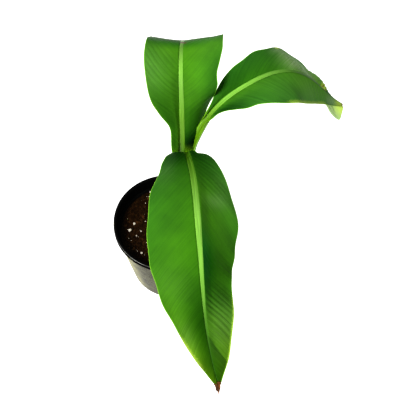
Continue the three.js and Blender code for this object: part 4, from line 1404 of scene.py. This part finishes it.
class BANANA_OT_blades(bpy.types.Operator):
    """Spread the leaf blades, one thin sheet on each side of each midrib"""

    bl_idname = "banana.blades"
    bl_label = "Leaf blades"

    def execute(self, context):
        for name, leaf in LEAVES.items():
            for side in ("left", "right"):
                nodes = [f"{name}_leaf_{side}_{part}" for part in ("inner", "outer")]
                place(build_blade(name, leaf, side), "leaf_green", *nodes)
        return {"FINISHED"}


class BANANA_OT_dry_tip(bpy.types.Operator):
    """Curl the dry brown tip on the front leaf"""

    bl_idname = "banana.dry_tip"
    bl_label = "Dry tip"

    def execute(self, context):
        leaf = LEAVES["front"]
        end = Axis(leaf).at(np.array([leaf["length"]]))
        centre, along, right, up = (rows[0] for rows in end)
        rings = []
        for k in np.linspace(0, 1, 16):
            forward = -2.5 + 11.0 * k
            width = 2.9 * (1 - k) ** 0.5 + 0.3
            turn = math.radians(70 * k + 12 * math.sin(9 * k))
            across = right * math.cos(turn) + up * math.sin(turn)
            normal = up * math.cos(turn) - right * math.sin(turn)
            middle = centre + along * forward + up * (-1.2 * k * k)
            middle = middle + right * (0.6 + 2.0 * k + 0.5 * math.sin(5 * k))
            ring = []
            for a in np.arange(14) / 14 * 2 * math.pi:
                thick = 0.35 * math.sin(a) + 0.5 * width * math.cos(a) ** 2
                ring.append(middle + across * width * math.cos(a) + normal * thick)
            rings.append(ring)
        c = colours()
        dry = grain_material("dry_leaf", c.dry, 0.9, 2.6, 0.8, 260.0, 2200.0, (0.7, 0.4))
        piece = finish_mesh("front_leaf_dry_end", *ring_tube(np.array(rings)), [dry])
        place(piece, "dry_brown", "front_leaf_dry_tip")
        return {"FINISHED"}


# ------------------------------------------------------------------ stage

CAMERA_PLACE = (0.0405, -0.431, 0.879)
CAMERA_ELEVATION = 60.7
CAMERA_ROLL = -3.0
CAMERA_LENS = 79.1
FLOOR_REACH = 4000
FLOOR_LEVEL = -0.2
FLOOR_GLOW = 0.75
ROOM_GLOW = (0.45, 0.15)   # the room's light at the horizon and overhead
LAMP_TARGET = (0.03, -0.03, 0.2)
# name, place, size, power, and whether surfaces mirror it
LAMPS = (
    ("key", (-0.77, -0.75, 1.38), 0.7, 30.0, False),
    ("fill", (0.9, -0.2, 1.4), 1.2, 2.5, False),
    ("back", (0.0, 0.6, 1.35), 0.9, 0.9, True),
)


def softbox(name, location, target, size, power, glossy):
    """A round lamp that faces the target."""
    light = bpy.data.lights.new(name, "AREA")
    light.shape = "DISK"
    light.size = size
    light.energy = power
    lamp = add_object(name, light)
    lamp.location = location
    lamp.visible_glossy = glossy
    direction = Vector(target) - lamp.location
    lamp.rotation_euler = direction.to_track_quat("-Z", "Y").to_euler()


class BANANA_OT_stage(bpy.types.Operator):
    """Set the floor, the soft light and the camera"""

    bl_idname = "banana.stage"
    bl_label = "Floor, light and camera"

    def execute(self, context):
        scene = context.scene
        scene.view_settings.view_transform = "Standard"
        scene.view_settings.look = "High Contrast"
        material, tree, shader = new_material("pale_floor")
        white = (1, 1, 1, 1)
        feed(tree, shader, {
            "Base Color": (0.5, 0.5, 0.5, 1), "Roughness": 0.9,
            "Emission Color": white, "Emission Strength": FLOOR_GLOW,
        })
        corners = ((-1, -1), (1, -1), (1, 1), (-1, 1))
        corners = [(x * FLOOR_REACH, y * FLOOR_REACH, FLOOR_LEVEL) for x, y in corners]
        floor = finish_mesh("floor", corners, [[0, 1, 2, 3]], [material])

        world = bpy.data.worlds.new("soft_room")
        world.use_nodes = True
        tree = world.node_tree
        where = add(tree, "ShaderNodeTexCoord").outputs["Generated"]
        height = add(tree, "ShaderNodeSeparateXYZ", {0: where}).outputs[2]
        glow = remap(tree, height, 0.0, 0.55, *ROOM_GLOW)
        feed(tree, tree.nodes["Background"], {0: white, 1: glow})
        scene.world = world
        for name, location, size, power, glossy in LAMPS:
            softbox(name, location, LAMP_TARGET, size, power, glossy)

        data = bpy.data.cameras.new("camera")
        data.lens = CAMERA_LENS
        data.sensor_width = 36
        data.clip_start = 0.05
        camera = add_object("camera", data)
        pitch = Matrix.Rotation(math.radians(90 - CAMERA_ELEVATION), 4, "X")
        roll = Matrix.Rotation(math.radians(CAMERA_ROLL), 4, "Z")
        camera.matrix_world = Matrix.Translation(CAMERA_PLACE) @ pitch @ roll
        scene.camera = camera
        return {"FINISHED"}


# ------------------------------------------------------------------ panel and main


OPERATORS = (
    BANANA_OT_stage,
    BANANA_OT_pot,
    BANANA_OT_mix,
    BANANA_OT_stem,
    BANANA_OT_blades,
    BANANA_OT_dry_tip,
)


class BANANA_PT_panel(bpy.types.Panel):
    """Lists the plant's steps and settings"""

    bl_idname = "BANANA_PT_panel"
    bl_label = "Banana plant"
    bl_space_type = "VIEW_3D"
    bl_region_type = "UI"
    bl_category = "Banana plant"

    def draw(self, context):
        column = self.layout.column(align=True)
        for operator in OPERATORS:
            column.operator(operator.bl_idname)
        for group in (context.scene.banana_sizes, context.scene.banana_colours):
            box = self.layout.box()
            for key in group.bl_rna.properties.keys():
                if key not in ("name", "rna_type"):
                    box.prop(group, key)


CLASSES = (PlantColours, PlantSizes, *OPERATORS, BANANA_PT_panel)


def register():
    for cls in CLASSES:
        bpy.utils.register_class(cls)
    bpy.types.Scene.banana_colours = PointerProperty(type=PlantColours)
    bpy.types.Scene.banana_sizes = PointerProperty(type=PlantSizes)


def unregister():
    del bpy.types.Scene.banana_sizes
    del bpy.types.Scene.banana_colours
    for cls in reversed(CLASSES):
        bpy.utils.unregister_class(cls)


def main():
    register()
    for operator in OPERATORS:
        category, name = operator.bl_idname.split(".")
        getattr(getattr(bpy.ops, category), name)()


if __name__ == "__main__":
    main()
